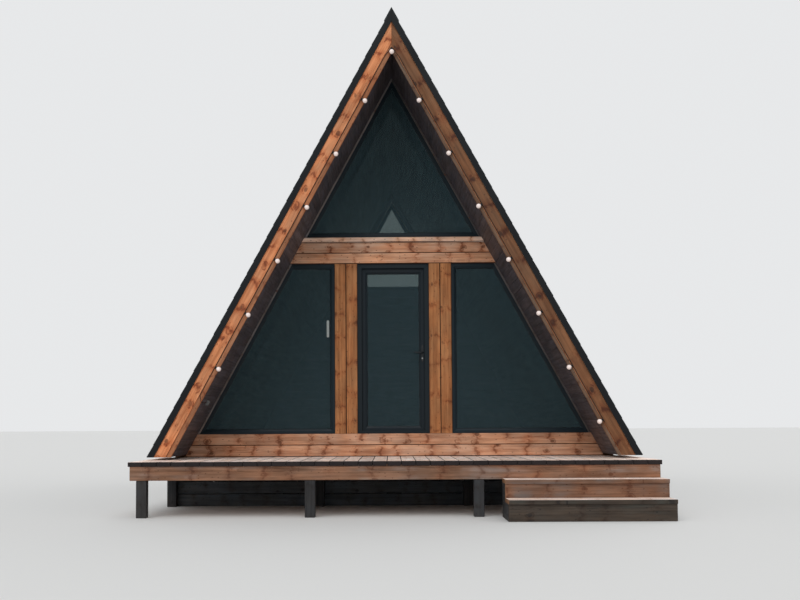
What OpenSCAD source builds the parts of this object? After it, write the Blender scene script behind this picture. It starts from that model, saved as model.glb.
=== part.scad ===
// A-frame timber cabin on piers, with a glazed front under a deep roof overhang, a front deck and side steps.
// The front faces -Y. The origin is on the ground under the middle of the whole footprint.

/* [Roof] */
// Pitch of both slopes in degrees
pitch = 61.45; // [58:0.05:64]
// Height of the lining's apex over the deck
apex_h = 4730; // [4300:10:5200]
// Thickness of the lining boards
lining_t = 20; // [15:1:30]
// Depth of a rafter across the slope
rafter_d = 125; // [100:5:200]
// Width of a rafter along the ridge
rafter_w = 50; // [40:5:80]
// Spacing of the rafters, at most
rafter_gap = 620; // [400:10:900]
// Thickness of the roof covering with its boards
cover_t = 74; // [40:1:90]
// How far the covering runs past the barge boards
verge_lip = 12; // [5:1:30]
// Height of the roof's feet over the deck
foot_gap = 30; // [20:5:60]
// Length of a leg of the ridge cap
cap_leg = 170; // [100:5:250]
// Thickness of the ridge cap
cap_t = 6; // [3:1:12]

/* [Barge boards] */
// Thickness of the barge boards and their trims
barge_t = 28; // [20:1:45]
// Width of the trim below the groove
trim_w = 45; // [35:1:60]
// How far the trim hangs below the lining
trim_drop = 26; // [10:1:30]
// Width of the groove between the trim and the barge board
groove_w = 10; // [9:1:16]

/* [Cabin] */
// Length from the front wall's face to the rear wall's face
cabin_len = 6650; // [5000:50:8000]
// Front overhang from the wall's face to the barge boards' face
front_over = 1050; // [900:10:1300]
// Rear overhang from the wall's face to the barge boards' face
rear_over = 300; // [150:10:600]
// Thickness of the front and rear walls
wall_t = 145; // [135:5:200]
// Height of one sill beam
sill_h = 140; // [120:5:160]
// Height of one transom beam
transom_h = 130; // [100:5:160]
// Height of the ledge over the transom beams
ledge_h = 70; // [60:5:90]
// How far the ledge stands out of the wall
ledge_out = 25; // [10:1:40]
// Top of the cabin's floor over the deck
floor_rise = 250; // [220:5:270]
// Width of one post beside the door
post_w = 137; // [120:1:160]
// Joint between the two posts of a pair
post_joint = 2; // [1:1:6]
// Chamfer on the front edges of posts and beams
arris = 6; // [2:1:12]

/* [Windows] */
// Width of a window frame's members
frame_w = 56; // [50:1:90]
// Depth of a window frame
frame_d = 70; // [60:1:85]
// How far the frames stand back from the wall's face
frame_back = 30; // [26:1:45]
// Thickness of the glass units
glass_t = 24; // [16:1:32]
// How far the glass reaches into its groove
glass_seat = 12; // [8:1:20]
// Width of the cover strips along the lining
strip_w = 20; // [12:1:30]
// Thickness of the cover strips
strip_t = 18; // [12:1:22]

// Height of the rear window's foot over the deck
rear_window_h = 2900; // [2500:10:3400]
// Width of the wall between the rear window and the lining
rear_margin = 90; // [60:5:250]

/* [Door] */
// Width of the doorway between the posts
doorway_w = 890; // [800:5:960]
// Height of the doorway between sill and transom
doorway_h = 2105; // [2050:5:2150]
// Width of the door frame's members
jamb_w = 42; // [35:1:55]
// Depth of the door frame
jamb_d = 88; // [75:1:100]
// Height of the threshold under the leaf
threshold_h = 20; // [15:1:30]
// How far the frame's lip covers the edge of the leaf
lip_cover = 18; // [15:1:24]
// Thickness of the door leaf
leaf_t = 56; // [44:1:60]
// Width of the leaf's stiles
stile_w = 70; // [60:1:90]
// Height of the leaf's bottom rail
bottom_rail = 60; // [50:1:120]
// Height of the leaf's top rail
top_rail = 72; // [60:1:120]
// Height of the handle over the threshold's foot
handle_h = 1000; // [900:10:1100]
// Length of the handle plates
plate_l = 200; // [120:5:240]
// Radius of a hinge barrel
barrel_r = 8; // [6:1:10]
// Length of a hinge barrel
barrel_l = 100; // [60:5:140]

/* [Deck and steps] */
// Height of the deck over the lowest ground
deck_h = 600; // [560:5:900]
// How far the deck runs past the roof's feet on each side
deck_side = 44; // [20:2:300]
// Depth of the deck in front of the wall
deck_d = 1720; // [1500:10:2400]
// Thickness of the deck's floor
deck_t = 50; // [30:1:60]
// Height of the rim beams and joists
joist_h = 150; // [120:5:180]
// Thickness of the rim beams and joists
joist_t = 45; // [35:1:70]
// How far the floor stands out past the front rim beam
deck_lip = 20; // [10:1:30]
// How far the floor stands out past the side rim beams
side_lip = 15; // [5:1:30]
// Thickness of the deck posts
deck_post = 110; // [90:5:140]
// How far the outer deck posts stand in from the deck's ends
post_inset = 84; // [60:1:150]
// How far the deck posts stand back from the rim beam's face
post_back = 5; // [0:1:20]
// Height of one step
rise = 190; // [170:1:200]
// Depth of one step
going = 300; // [260:5:340]
// Where the steps begin, to the right of the middle
steps_x = 1150; // [800:10:1600]
// Thickness of a tread
tread_t = 45; // [35:1:55]
// Gap between the two planks of a tread
tread_gap = 6; // [3:1:10]
// Thickness of the riser and side boards of the steps
step_board = 25; // [18:1:40]

/* [Foundation] */
// Thickness of the square piers under the cabin
pier_w = 190; // [150:10:200]
// Width of the sills under the rafters' feet
side_sill_w = 240; // [220:5:300]
// Height of the sills under the rafters' feet
side_sill_h = 180; // [150:5:220]
// Thickness of the square bearers under the floor
bearer_w = 150; // [120:5:180]
// Distance of the outer bearers from the middle
bearer_x = 1300; // [1100:10:1600]
// Thickness of the skirt boards around the piers
skirt_t = 22; // [18:1:30]

/* [Lights] */
// Height of the first bulbs of each slope over the deck
bulb_top = 4114; // [3600:1:4200]
// Distance of the bulbs along the slope
bulb_gap = 700; // [500:10:700]
// Number of bulbs on the left slope
bulbs_left = 6; // [1:1:6]
// Number of bulbs on the right slope
bulbs_right = 7; // [1:1:7]
// Diameter of a bulb
bulb_d = 54; // [40:1:70]
// Diameter of a socket
socket_d = 30; // [24:1:36]
// Diameter of the cable
cable_d = 7; // [5:1:8]
// Height of the cable box over the deck
box_h = 663; // [500:10:900]
// Distance of the cable box from the wall
box_y = 540; // [200:10:800]

/* [Thermometer] */
// Length of the window thermometer
gauge_l = 228; // [150:1:300]
// Width of the window thermometer
gauge_w = 30; // [20:1:40]
// Middle of the window thermometer over the deck
gauge_h = 1580; // [1000:10:1900]

/* [Hidden] */
$fn = 48;
// Clearance where a piece is seated on its neighbour
seat = 0.3;
// Running clearance around the door leaf
run_gap = 5;
// Clearance at the leaf's two upright edges
edge_gap = 8;

// Levels
apex_z = deck_h + apex_h;
foot_z = deck_h + foot_gap;
sill_z = deck_h + 2 * sill_h;
head_z = sill_z + doorway_h;
ledge_z = head_z + 2 * transom_h;
upper_z = ledge_z + ledge_h;
rear_z = deck_h + rear_window_h;
floor_z = deck_h + floor_rise;
joist_z = deck_h - deck_t - joist_h;

// Offsets across the slope, counted outward from the lining's inner face
rafter_in = lining_t + seat;
rafter_out = rafter_in + rafter_d;
cover_in = rafter_out + seat;
cover_out = cover_in + cover_t;
trim_in = -trim_drop;
trim_out = trim_in + trim_w;
barge_in = trim_out + groove_w;

// Places along the cabin, counted from the front wall's face
barge_y = -front_over;
roof_y = barge_y + barge_t;
rear_y = cabin_len + rear_over;
rear_roof_y = rear_y - barge_t;
rear_in = cabin_len - wall_t;
rim_y = -deck_d + deck_lip;
front_y = rim_y - 2 * going - deck_lip;
middle_y = (front_y + rear_y + verge_lip) / 2;

// Places across the cabin
doorway = doorway_w / 2;
window_x = doorway + 2 * post_w + post_joint;
sill_out = hw(foot_z, rafter_out);
deck_half = round(hw(foot_z, cover_out) + deck_side);
rim_x = deck_half - side_lip;

// Door
leaf_x = doorway - jamb_w - edge_gap;
lip_x = doorway - jamb_w - lip_cover;
leaf_z0 = sill_z + threshold_h + run_gap;
leaf_z1 = head_z - jamb_w - run_gap;
leaf_y1 = frame_back + jamb_d;
leaf_y0 = leaf_y1 - leaf_t;
lip_y1 = leaf_y0 - run_gap;
lip_over = leaf_x - lip_x;

// Hinges, with the pin just outside the leaf's edge on the room side
barrel_gap = 2;
flap_t = 3;
flap_w = 34;
hinge_in = 200;
hinge_zs = [leaf_z0 + hinge_in, (leaf_z0 + leaf_z1) / 2, leaf_z1 - hinge_in];
pin_x = -leaf_x - run_gap;
pin_y = leaf_y1 + barrel_r + barrel_gap;
// Where the leaf's plates begin beside the barrel
flap_in = sqrt(pow(barrel_r + seat, 2) - pow(pin_y - leaf_y1 - flap_t, 2));

// Half width of the room under one slope at height z, at an offset across that slope
function hw(z, off = 0) = (apex_z - z) / tan(pitch) + off / sin(pitch);
// Height where both slopes meet at an offset across them
function peak(off = 0) = apex_z + off / cos(pitch);

stain = [0.66, 0.40, 0.24];
pale_wood = [0.84, 0.74, 0.68];
dark_wood = [0.16, 0.14, 0.14];
anthracite = [0.13, 0.16, 0.18];
pane = [0.16, 0.22, 0.22, 0.6];
roofing = [0.15, 0.18, 0.18];

// Moves the cabin so that the origin is under the middle of its footprint
module placed() translate([0, -middle_y, 0]) children();

// Extrudes an outline drawn in X and Z from y0 to y1
module along_y(y0, y1) translate([0, y1, 0]) rotate([90, 0, 0]) linear_extrude(y1 - y0) children();

// Extrudes an outline drawn in Y and Z from x0 to x1
module along_x(x0, x1) translate([x0, 0, 0]) rotate([90, 0, 90]) linear_extrude(x1 - x0) children();

// A box from one corner to the other
module block(low, high) translate(low) cube(high - low);

// A layer of one slope between two offsets, with a level foot and a plumb cut at the ridge
module slope_layer(side, in_off, out_off, y0, y1) along_y(y0, y1)
    polygon([[side * hw(foot_z, in_off), foot_z], [side * hw(foot_z, out_off), foot_z],
        [0, peak(out_off)], [0, peak(in_off)]]);

// Outline of the triangle under the ridge, from height z up
module gable(z, off) polygon([[-hw(z, off), z], [hw(z, off), z], [0, peak(off)]]);

// Outline beside the door: upright at x, level at z0 and z1, sloped outside
module bay(side, x, z0, z1, off) polygon([[side * x, z0], [side * hw(z0, off), z0],
    [side * hw(z1, off), z1], [side * x, z1]]);

// Outline of a band across the whole cabin, cut along both slopes
module band(z0, z1) polygon([[-hw(z0, -seat), z0], [hw(z0, -seat), z0],
    [hw(z1, -seat), z1], [-hw(z1, -seat), z1]]);

// A wall beam with chamfered front edges
module wall_beam(z0, h) intersection() {
    along_y(0, wall_t) band(z0, z0 + h);
    along_x(-deck_half, deck_half) translate([0, z0])
        polygon([[arris, 0], [wall_t, 0], [wall_t, h], [arris, h], [0, h - arris], [0, arris]]);
}

module piers() color("dimgray") placed() {
    // Square posts under the deck
    for (x = [-1, -1 / 3, 1 / 3, 1], y = [rim_y + post_back + deck_post / 2, -post_back - deck_post / 2])
        translate([x * (deck_half - post_inset - deck_post / 2), y, joist_z / 2])
            cube([deck_post, deck_post, joist_z], center = true);
    // Piers under the side sills and the bearers
    for (x = [-1, 0, 1], y = [wall_t + pier_w, cabin_len / 2, rear_in - pier_w]) {
        pier(x * bearer_x, y, foot_z - bearer_w);
        if (x != 0) pier(x * (sill_out - skirt_t - seat - pier_w / 2), y, foot_z - side_sill_h);
    }
    // Piers under the front and rear walls
    for (x = [-1, 1], y = [skirt_t + seat + pier_w / 2, cabin_len - skirt_t - seat - pier_w / 2])
        pier(x * bearer_x / 2, y, deck_h);
}

module pier(x, y, h) translate([x, y, h / 2]) cube([pier_w, pier_w, h], center = true);

// Side sills with a lap under the front and rear walls, and three bearers between them
module floor_bearers() color("sienna") placed() {
    sill_y0 = skirt_t + seat;
    sill_y1 = cabin_len - sill_y0;
    lap_z = deck_h - seat;
    for (x = [-sill_out, sill_out - side_sill_w])
        along_x(x, x + side_sill_w)
            polygon([[sill_y0, foot_z - side_sill_h], [sill_y0, lap_z], [wall_t, lap_z], [wall_t, foot_z],
                [rear_in, foot_z], [rear_in, lap_z], [sill_y1, lap_z], [sill_y1, foot_z - side_sill_h]]);
    for (x = [-bearer_x, 0, bearer_x])
        block([x - bearer_w / 2, wall_t, foot_z - bearer_w], [x + bearer_w / 2, rear_in, foot_z]);
}

module skirt_boards() color(dark_wood) placed() {
    for (y = [0, cabin_len - skirt_t])
        block([-sill_out, y, 0], [sill_out, y + skirt_t, deck_h]);
    for (side = [-1, 1])
        translate([side * (sill_out - skirt_t / 2), cabin_len / 2, (foot_z - side_sill_h) / 2])
            cube([skirt_t, cabin_len - 2 * (skirt_t + seat), foot_z - side_sill_h], center = true);
}

module cabin_floor() color("burlywood") placed() along_y(wall_t, rear_in) band(foot_z, floor_z);

joist_n = 3;
module deck_joists() color("peru") placed()
    for (i = [1:joist_n]) translate([0, joist_y(i), joist_z])
        block([joist_t - rim_x, 0, 0], [rim_x - joist_t, joist_t, joist_h]);
function joist_y(i) = rim_y + i * (-rim_y - joist_t) / joist_n;

module deck_rim_front() color(stain) placed()
    block([-rim_x, rim_y, joist_z], [rim_x, rim_y + joist_t, joist_z + joist_h]);

module deck_rim_sides() color(stain) placed()
    for (side = [-1, 1])
        translate([side * (rim_x - joist_t / 2), (rim_y + joist_t) / 2, joist_z + joist_h / 2])
            cube([joist_t, -rim_y - joist_t, joist_h], center = true);

module deck_floor() color(pale_wood) placed()
    block([-deck_half, -deck_d, deck_h - deck_t], [deck_half, 0, deck_h]);

// Front faces of the two step risers
function step_y(i) = rim_y - i * going;
plank_w = (going + deck_lip - tread_gap) / 2;

module step_treads() color(pale_wood) placed()
    for (i = [1:2], p = [0, 1])
        translate([steps_x, step_y(i) - deck_lip + p * (plank_w + tread_gap), deck_h - i * rise - tread_t])
            cube([deck_half - steps_x, plank_w, tread_t]);

// Undersides of the treads
upper_step_z = deck_h - rise - tread_t;
lower_step_z = upper_step_z - rise;
module step_risers() color(stain) placed() {
    block([steps_x, step_y(1), lower_step_z], [deck_half, step_y(1) + step_board, upper_step_z]);
    block([steps_x, step_y(2), 0], [deck_half, step_y(2) + step_board, lower_step_z]);
}

module step_sides() color(dark_wood) placed()
    for (x = [steps_x, (steps_x + deck_half - step_board) / 2, deck_half - step_board])
        along_x(x, x + step_board) polygon([[rim_y, 0], [rim_y, upper_step_z],
            [step_y(1) + step_board, upper_step_z], [step_y(1) + step_board, lower_step_z],
            [step_y(2) + step_board, lower_step_z], [step_y(2) + step_board, 0]]);

module sill_beam_lower() color(stain) placed() wall_beam(deck_h, sill_h);
module sill_beam_upper() color(stain) placed() wall_beam(deck_h + sill_h, sill_h);
module transom_beam_lower() color(stain) placed() wall_beam(head_z, transom_h);
module transom_beam_upper() color(stain) placed() wall_beam(head_z + transom_h, transom_h);

// The ledge has a nosing that stands out of the wall, a sloping top and a drip rebate under it
ledge_fall = 6;
ledge_rebate = 10;
module transom_ledge() color(stain) placed() intersection() {
    along_y(-ledge_out, wall_t) band(ledge_z, upper_z);
    along_x(-deck_half, deck_half) polygon([[0, ledge_z], [wall_t, ledge_z], [wall_t, upper_z],
        [frame_back, upper_z], [-ledge_out, upper_z - ledge_fall], [-ledge_out, ledge_z + ledge_rebate],
        [0, ledge_z + ledge_rebate]]);
}

// Two posts on each side of the door, with chamfered front edges
module door_posts() color(stain) placed()
    for (side = [-1, 1], i = [0, 1])
        translate([side * (doorway + post_w / 2 + i * (post_w + post_joint)) - post_w / 2, 0, sill_z])
            linear_extrude(doorway_h) polygon([[0, arris], [0, wall_t], [post_w, wall_t], [post_w, arris],
                [post_w - arris, 0], [arris, 0]]);

// A window's frame: child 0 is its outline, child 1 the groove's and child 2 the opening's
frame_y1 = frame_back + frame_d;
glass_y0 = frame_back + (frame_d - glass_t) / 2;
module glazed_frame(y0 = frame_back) translate([0, y0 - frame_back, 0]) difference() {
    along_y(frame_back, frame_y1) children(0);
    along_y(glass_y0 - seat, glass_y0 + glass_t + seat) children(1);
    along_y(frame_back - 1, frame_y1 + 1) children(2);
}
groove_in = frame_w - glass_seat;
module gable_frame(y0, z, off) glazed_frame(y0) {
    gable(z, off);
    gable(z + groove_in, off - groove_in);
    gable(z + frame_w, off - frame_w);
}
module gable_glass(y0, z, off) translate([0, y0 - frame_back, 0]) along_y(glass_y0, glass_y0 + glass_t)
    gable(z + groove_in + seat, off - groove_in - seat);
module bay_frame(side) glazed_frame() {
    bay(side, window_x, sill_z, head_z, -seat);
    bay(side, window_x + groove_in, sill_z + groove_in, head_z - groove_in, -seat - groove_in);
    bay(side, window_x + frame_w, sill_z + frame_w, head_z - frame_w, -seat - frame_w);
}
module bay_glass(side) along_y(glass_y0, glass_y0 + glass_t)
    bay(side, window_x + groove_in + seat, sill_z + groove_in + seat, head_z - groove_in - seat,
        -groove_in - 2 * seat);

rear_frame_y = cabin_len - frame_back - frame_d;
rear_off = -rear_margin - seat;
module upper_window_frame() color(anthracite) placed() gable_frame(frame_back, upper_z, -seat);
module upper_window_glass() color(pane) placed() gable_glass(frame_back, upper_z, -seat);
module left_window_frame() color(anthracite) placed() bay_frame(-1);
module left_window_glass() color(pane) placed() bay_glass(-1);
module right_window_frame() color(anthracite) placed() bay_frame(1);
module right_window_glass() color(pane) placed() bay_glass(1);
module rear_window_frame() color(anthracite) placed() gable_frame(rear_frame_y, rear_z, rear_off);
module rear_window_glass() color(pane) placed() gable_glass(rear_frame_y, rear_z, rear_off);

// The door frame has a lip in front of the leaf's edges on all four sides
module door_frame() color(anthracite) placed() difference() {
    block([-doorway, frame_back, sill_z], [doorway, frame_back + jamb_d, head_z]);
    block([-lip_x, frame_back - 1, leaf_z0 + lip_over], [lip_x, lip_y1 + 1, leaf_z1 - lip_over]);
    block([jamb_w - doorway, lip_y1, sill_z + threshold_h], [doorway - jamb_w, leaf_y1 + 1, head_z - jamb_w]);
}

// Frame plates and barrels of the three hinges, on the room side
module door_hinges() color("gray") placed()
    for (z = hinge_zs) translate([pin_x, 0, z]) {
        translate([0, pin_y, 0]) cylinder(r = barrel_r, h = barrel_l, center = true);
        translate([-flap_w / 2, leaf_y1 + flap_t / 2, 0]) cube([flap_w, flap_t, barrel_l], center = true);
    }

glass_x = leaf_x - stile_w;
module door_leaf() color(anthracite) placed() difference() {
    union() {
        block([-leaf_x, leaf_y0, leaf_z0], [leaf_x, leaf_y1, leaf_z1]);
        for (z = hinge_zs) translate([pin_x, leaf_y1, z - barrel_l / 2])
            block([flap_in, 0, 0], [flap_w, flap_t, barrel_l]);
    }
    block([-glass_x, leaf_y0 - 1, leaf_z0 + bottom_rail], [glass_x, leaf_y1 + 1, leaf_z1 - top_rail]);
    translate([0, leaf_glass_y - seat, 0])
        block([-glass_x - glass_seat, 0, leaf_z0 + bottom_rail - glass_seat],
            [glass_x + glass_seat, glass_t + 2 * seat, leaf_z1 - top_rail + glass_seat]);
    translate([handle_x, leaf_y0 + leaf_t / 2, handle_z])
        cube([spindle_w + 2 * seat, leaf_t + 2, spindle_w + 2 * seat], center = true);
}
leaf_glass_y = leaf_y0 + (leaf_t - glass_t) / 2;
module door_glass() color(pane) placed()
    block([-glass_x - glass_seat + seat, leaf_glass_y, leaf_z0 + bottom_rail - glass_seat + seat],
        [glass_x + glass_seat - seat, leaf_glass_y + glass_t, leaf_z1 - top_rail + glass_seat - seat]);

// Lever handles on both faces, joined by a square spindle
spindle_w = 8;
plate_w = 32;
plate_t = 8;
plate_drop = 10;
lever_d = 18;
lever_out = 42;
lever_l = 115;
handle_x = leaf_x - stile_w / 2;
handle_z = sill_z + handle_h;
module door_handle() color(anthracite) placed() translate([handle_x, 0, handle_z]) {
    translate([0, (leaf_y0 + leaf_y1) / 2, 0])
        cube([spindle_w, leaf_t + 2 * plate_t, spindle_w], center = true);
    handle_side(leaf_y0 - seat, -1);
    handle_side(leaf_y1 + seat, 1);
}
module handle_side(y, way) translate([0, y, 0]) {
    translate([0, way * plate_t / 2, -plate_drop]) cube([plate_w, plate_t, plate_l], center = true);
    rotate([-way * 90, 0, 0]) cylinder(d = lever_d, h = lever_out);
    translate([lever_d / 2, way * lever_out, 0]) rotate([0, -90, 0]) cylinder(d = lever_d, h = lever_l);
}

// Slim strips that cover the joint between the window frames and the lining
module cover_strips() color("sienna") placed() along_y(frame_back - strip_t, frame_back) {
    for (side = [-1, 1])
        polygon([[side * hw(sill_z, -seat - strip_w), sill_z], [side * hw(sill_z, -seat), sill_z],
            [side * hw(head_z, -seat), head_z], [side * hw(head_z, -seat - strip_w), head_z]]);
    difference() {
        gable(upper_z, -seat);
        gable(upper_z - 1, -seat - strip_w);
    }
}

module lining(side) slope_layer(side, 0, lining_t, roof_y, rear_roof_y);
module lining_left() color(dark_wood) placed() lining(-1);
module lining_right() color(dark_wood) placed() lining(1);

// Evenly spaced rafters, the first and last behind the barge boards
rafter_n = ceil((rear_roof_y - roof_y - rafter_w) / rafter_gap);
rafter_step = (rear_roof_y - roof_y - rafter_w) / rafter_n;
module rafters(side)
    for (y = [roof_y:rafter_step:rear_roof_y - rafter_w + seat])
        slope_layer(side, rafter_in, rafter_out, y, y + rafter_w);
module rafters_left() color("peru") placed() rafters(-1);
module rafters_right() color("peru") placed() rafters(1);

module covering(side) slope_layer(side, cover_in, cover_out, barge_y - verge_lip, rear_y + verge_lip);
module roof_covering_left() color(roofing) placed() covering(-1);
module roof_covering_right() color(roofing) placed() covering(1);

// A folded strip over the ridge
cap_in = cover_out + seat;
cap_z = peak(cap_in) - cap_leg * sin(pitch);
module ridge_cap() color(roofing) placed() along_y(barge_y - verge_lip, rear_y + verge_lip)
    polygon([[-hw(cap_z, cap_in), cap_z], [-hw(cap_z, cap_in + cap_t), cap_z], [0, peak(cap_in + cap_t)],
        [hw(cap_z, cap_in + cap_t), cap_z], [hw(cap_z, cap_in), cap_z], [0, peak(cap_in)]]);

// A barge board and the trim below it, at both ends of one slope
module barge(side)
    for (y = [barge_y, rear_roof_y]) {
        slope_layer(side, barge_in, rafter_out, y, y + barge_t);
        slope_layer(side, trim_in, trim_out, y, y + barge_t);
    }
module barge_left() color(stain) placed() barge(-1);
module barge_right() color(stain) placed() barge(1);

// The rear wall stands on the piers, fills the gable and is cut through for the rear window
module rear_wall() color(stain) placed() difference() {
    along_y(rear_in, cabin_len) gable(deck_h, -seat);
    along_y(rear_in - 1, cabin_len + 1) gable(rear_z, -rear_margin);
}

// String lights: a cable over the groove and a clipped socket across the trim for each bulb
cable_off = trim_out + groove_w / 2;
cable_y = barge_y - cable_d / 2 - seat;
socket_out = cable_off - cable_d / 2 - seat;
bulb_clear = 1;
socket_in = -bulb_clear;
socket_y = barge_y - bulb_d / 2 - bulb_clear;
bulb_off = socket_in - seat - bulb_d / 2;
clip_w = 14;
function bulb_z(i) = deck_h + bulb_top - i * bulb_gap * sin(pitch);
// The point at an offset straight out from the lining's place at height z
function on_slope(side, z, off, y) = [side * (hw(z) + off * sin(pitch)), y, z + off * cos(pitch)];

// The cable comes from the box, passes under the left trim and follows both slopes
box_z = deck_h + box_h;
box_size = [60, 70, 30];
cable_under = trim_in - cable_d / 2 - seat;
cable_turn = 60;
cable_tail = 30;
apex_place = peak(bulb_off) - bulb_off;
cable_top = apex_place + socket_out + cable_d / 2 + seat;
apex_turn = (clip_w + cable_d) / 2;
cable_route = [
    on_slope(-1, box_z, -box_size.z / 2, -box_y - box_size.y / 2 - 2 * seat),
    on_slope(-1, box_z, cable_under, roof_y + barge_t),
    on_slope(-1, box_z, cable_under, cable_y),
    on_slope(-1, box_z + cable_turn, cable_off, cable_y),
    on_slope(-1, cable_top - 2 * cable_turn, cable_off, cable_y),
    [-apex_turn, cable_y, cable_top],
    [apex_turn, cable_y, cable_top],
    on_slope(1, cable_top - 2 * cable_turn, cable_off, cable_y),
    on_slope(1, bulb_z(bulbs_right - 1) - cable_tail, cable_off, cable_y)];

module light_cable() color("black") placed() tube(cable_route, cable_d / 2, 8);

// A tube swept along straight runs, with a mitre at each bend
module tube(route, r, sides) {
    runs = [for (i = [1:len(route) - 1]) unit(route[i] - route[i - 1])];
    across = unit(cross(runs[0], [0, 0, 1]));
    start = [for (j = [0:sides - 1]) let(a = j * 360 / sides)
        r * (across * cos(a) + cross(runs[0], across) * sin(a))];
    last = (len(route) - 1) * sides;
    polyhedron(
        points = [for (ring = rings(route, runs, start)) each ring],
        faces = concat([[for (j = [0:sides - 1]) j]], [[for (j = [sides - 1:-1:0]) last + j]],
            [for (i = [0:len(runs) - 1], j = [0:sides - 1]) let(k = (j + 1) % sides)
                [i * sides + j, (i + 1) * sides + j, (i + 1) * sides + k, i * sides + k]]));
}
function unit(v) = v / norm(v);
// Slides spokes along one direction until they lie in the plane across another
function slid(spokes, along, normal) = [for (v = spokes) v - along * (v * normal) / (along * normal)];
// One ring of points for each point of the route, in the plane that halves the bend there
function rings(route, runs, spokes, i = 0) = let(
    into = runs[max(i - 1, 0)], out = runs[min(i, len(runs) - 1)],
    mitred = slid(spokes, into, unit(into + out)), ring = [for (v = mitred) route[i] + v])
    i == len(runs) ? [ring] : concat([ring], rings(route, runs, slid(mitred, out, out), i + 1));

// Places its children at each bulb, with Z across the slope and the lining's plane at zero
module at_bulbs() {
    translate([0, socket_y, apex_place]) children();
    for (side = [-1, 1], i = [0:(side < 0 ? bulbs_left : bulbs_right) - 1])
        translate(on_slope(side, bulb_z(i), 0, socket_y)) rotate([0, side * pitch, 0]) children();
}

// Sockets on clips, and the box on the left soffit that feeds the cable
module light_sockets() color("black") placed() {
    at_bulbs() {
        translate([0, 0, socket_in]) cylinder(d = socket_d, h = socket_out - socket_in);
        block([-clip_w / 2, 0, 0], [clip_w / 2, barge_y - seat - socket_y, socket_out]);
    }
    translate(on_slope(-1, box_z, -seat, -box_y)) rotate([0, -pitch, 0])
        translate([-box_size.x / 2, -box_size.y / 2, -box_size.z]) cube(box_size);
}

module light_bulbs() color([1, 0.93, 0.8]) placed()
    at_bulbs() translate([0, 0, bulb_off]) sphere(d = bulb_d);

// A slim window thermometer on two pads, near the inner edge of the left window
gauge_t = 10;
gauge_off = 4;
gauge_in = 18;
pad_d = 22;
pad_l = 5;
module window_thermometer() color("white") placed()
    translate([-window_x - frame_w - gauge_w / 2 - gauge_in, glass_y0 - seat, deck_h + gauge_h]) {
        translate([0, -gauge_off - gauge_t / 2, 0]) cube([gauge_w, gauge_t, gauge_l], center = true);
        for (z = [pad_d - gauge_l / 2, gauge_l / 2 - pad_d])
            translate([0, 0, z]) rotate([90, 0, 0]) cylinder(d = pad_d, h = pad_l);
    }

piers();
floor_bearers();
skirt_boards();
cabin_floor();
deck_joists();
deck_rim_front();
deck_rim_sides();
deck_floor();
step_treads();
step_risers();
step_sides();
sill_beam_lower();
sill_beam_upper();
door_posts();
transom_beam_lower();
transom_beam_upper();
transom_ledge();
upper_window_frame();
upper_window_glass();
left_window_frame();
left_window_glass();
right_window_frame();
right_window_glass();
door_frame();
door_hinges();
door_leaf();
door_glass();
door_handle();
cover_strips();
lining_left();
lining_right();
rafters_left();
rafters_right();
roof_covering_left();
roof_covering_right();
ridge_cap();
barge_left();
barge_right();
rear_wall();
rear_window_frame();
rear_window_glass();
light_cable();
light_sockets();
light_bulbs();
window_thermometer();
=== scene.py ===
import math
import random

import bmesh
import bpy
from mathutils import Matrix, Vector


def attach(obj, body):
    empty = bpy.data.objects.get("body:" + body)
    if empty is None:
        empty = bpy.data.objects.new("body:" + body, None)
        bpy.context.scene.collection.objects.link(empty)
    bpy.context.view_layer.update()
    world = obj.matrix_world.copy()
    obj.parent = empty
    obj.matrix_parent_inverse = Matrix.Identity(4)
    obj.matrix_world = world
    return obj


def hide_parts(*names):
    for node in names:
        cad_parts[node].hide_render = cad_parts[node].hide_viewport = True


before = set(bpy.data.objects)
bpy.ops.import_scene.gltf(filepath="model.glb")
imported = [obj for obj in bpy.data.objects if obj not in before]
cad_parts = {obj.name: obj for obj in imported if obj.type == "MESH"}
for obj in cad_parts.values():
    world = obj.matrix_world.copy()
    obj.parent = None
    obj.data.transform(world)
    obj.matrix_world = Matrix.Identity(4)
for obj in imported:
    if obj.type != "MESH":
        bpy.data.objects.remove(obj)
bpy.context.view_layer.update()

BODY, DOOR = "cabin", "door"
X, Y, Z = (1, 0, 0), (0, 1, 0), (0, 0, 1)
SIDES = (-1, 1)

# The camera at the photo's viewing angle: place in metres, turns in degrees, sensor and lens in millimetres
CAMERA_AT = (-0.022, -15.362, 0.976)
CAMERA_PITCH, CAMERA_YAW, CAMERA_ROLL = (math.radians(turn) for turn in (2.907, 0.631, -0.303))
SENSOR, LENS = 36.0, 47.62
SHIFT = (0.025, 0.09)

# The cabin's main sizes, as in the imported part, in metres
PITCH = math.radians(61.45)
TAN, SIN, COS = math.tan(PITCH), math.sin(PITCH), math.cos(PITCH)
SEAT = 0.0003  # the gap between pieces that touch
ARRIS = 0.006

# Heights of the lining's apex, the deck, the roof's foot, the floor and the rear window's foot
APEX_Z, DECK_Z, FOOT_Z, FLOOR_Z, REAR_Z = 5.33, 0.6, 0.63, 0.85, 3.5

# The front wall from the deck up: two sill beams, the doorway, two transom beams and the ledge
SILL_H, DOORWAY_H, TRANSOM_H, LEDGE_H = 0.14, 2.105, 0.13, 0.07
SILL_Z = DECK_Z + 2 * SILL_H
HEAD_Z = SILL_Z + DOORWAY_H
LEDGE_Z = HEAD_Z + 2 * TRANSOM_H
UPPER_Z = LEDGE_Z + LEDGE_H

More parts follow.
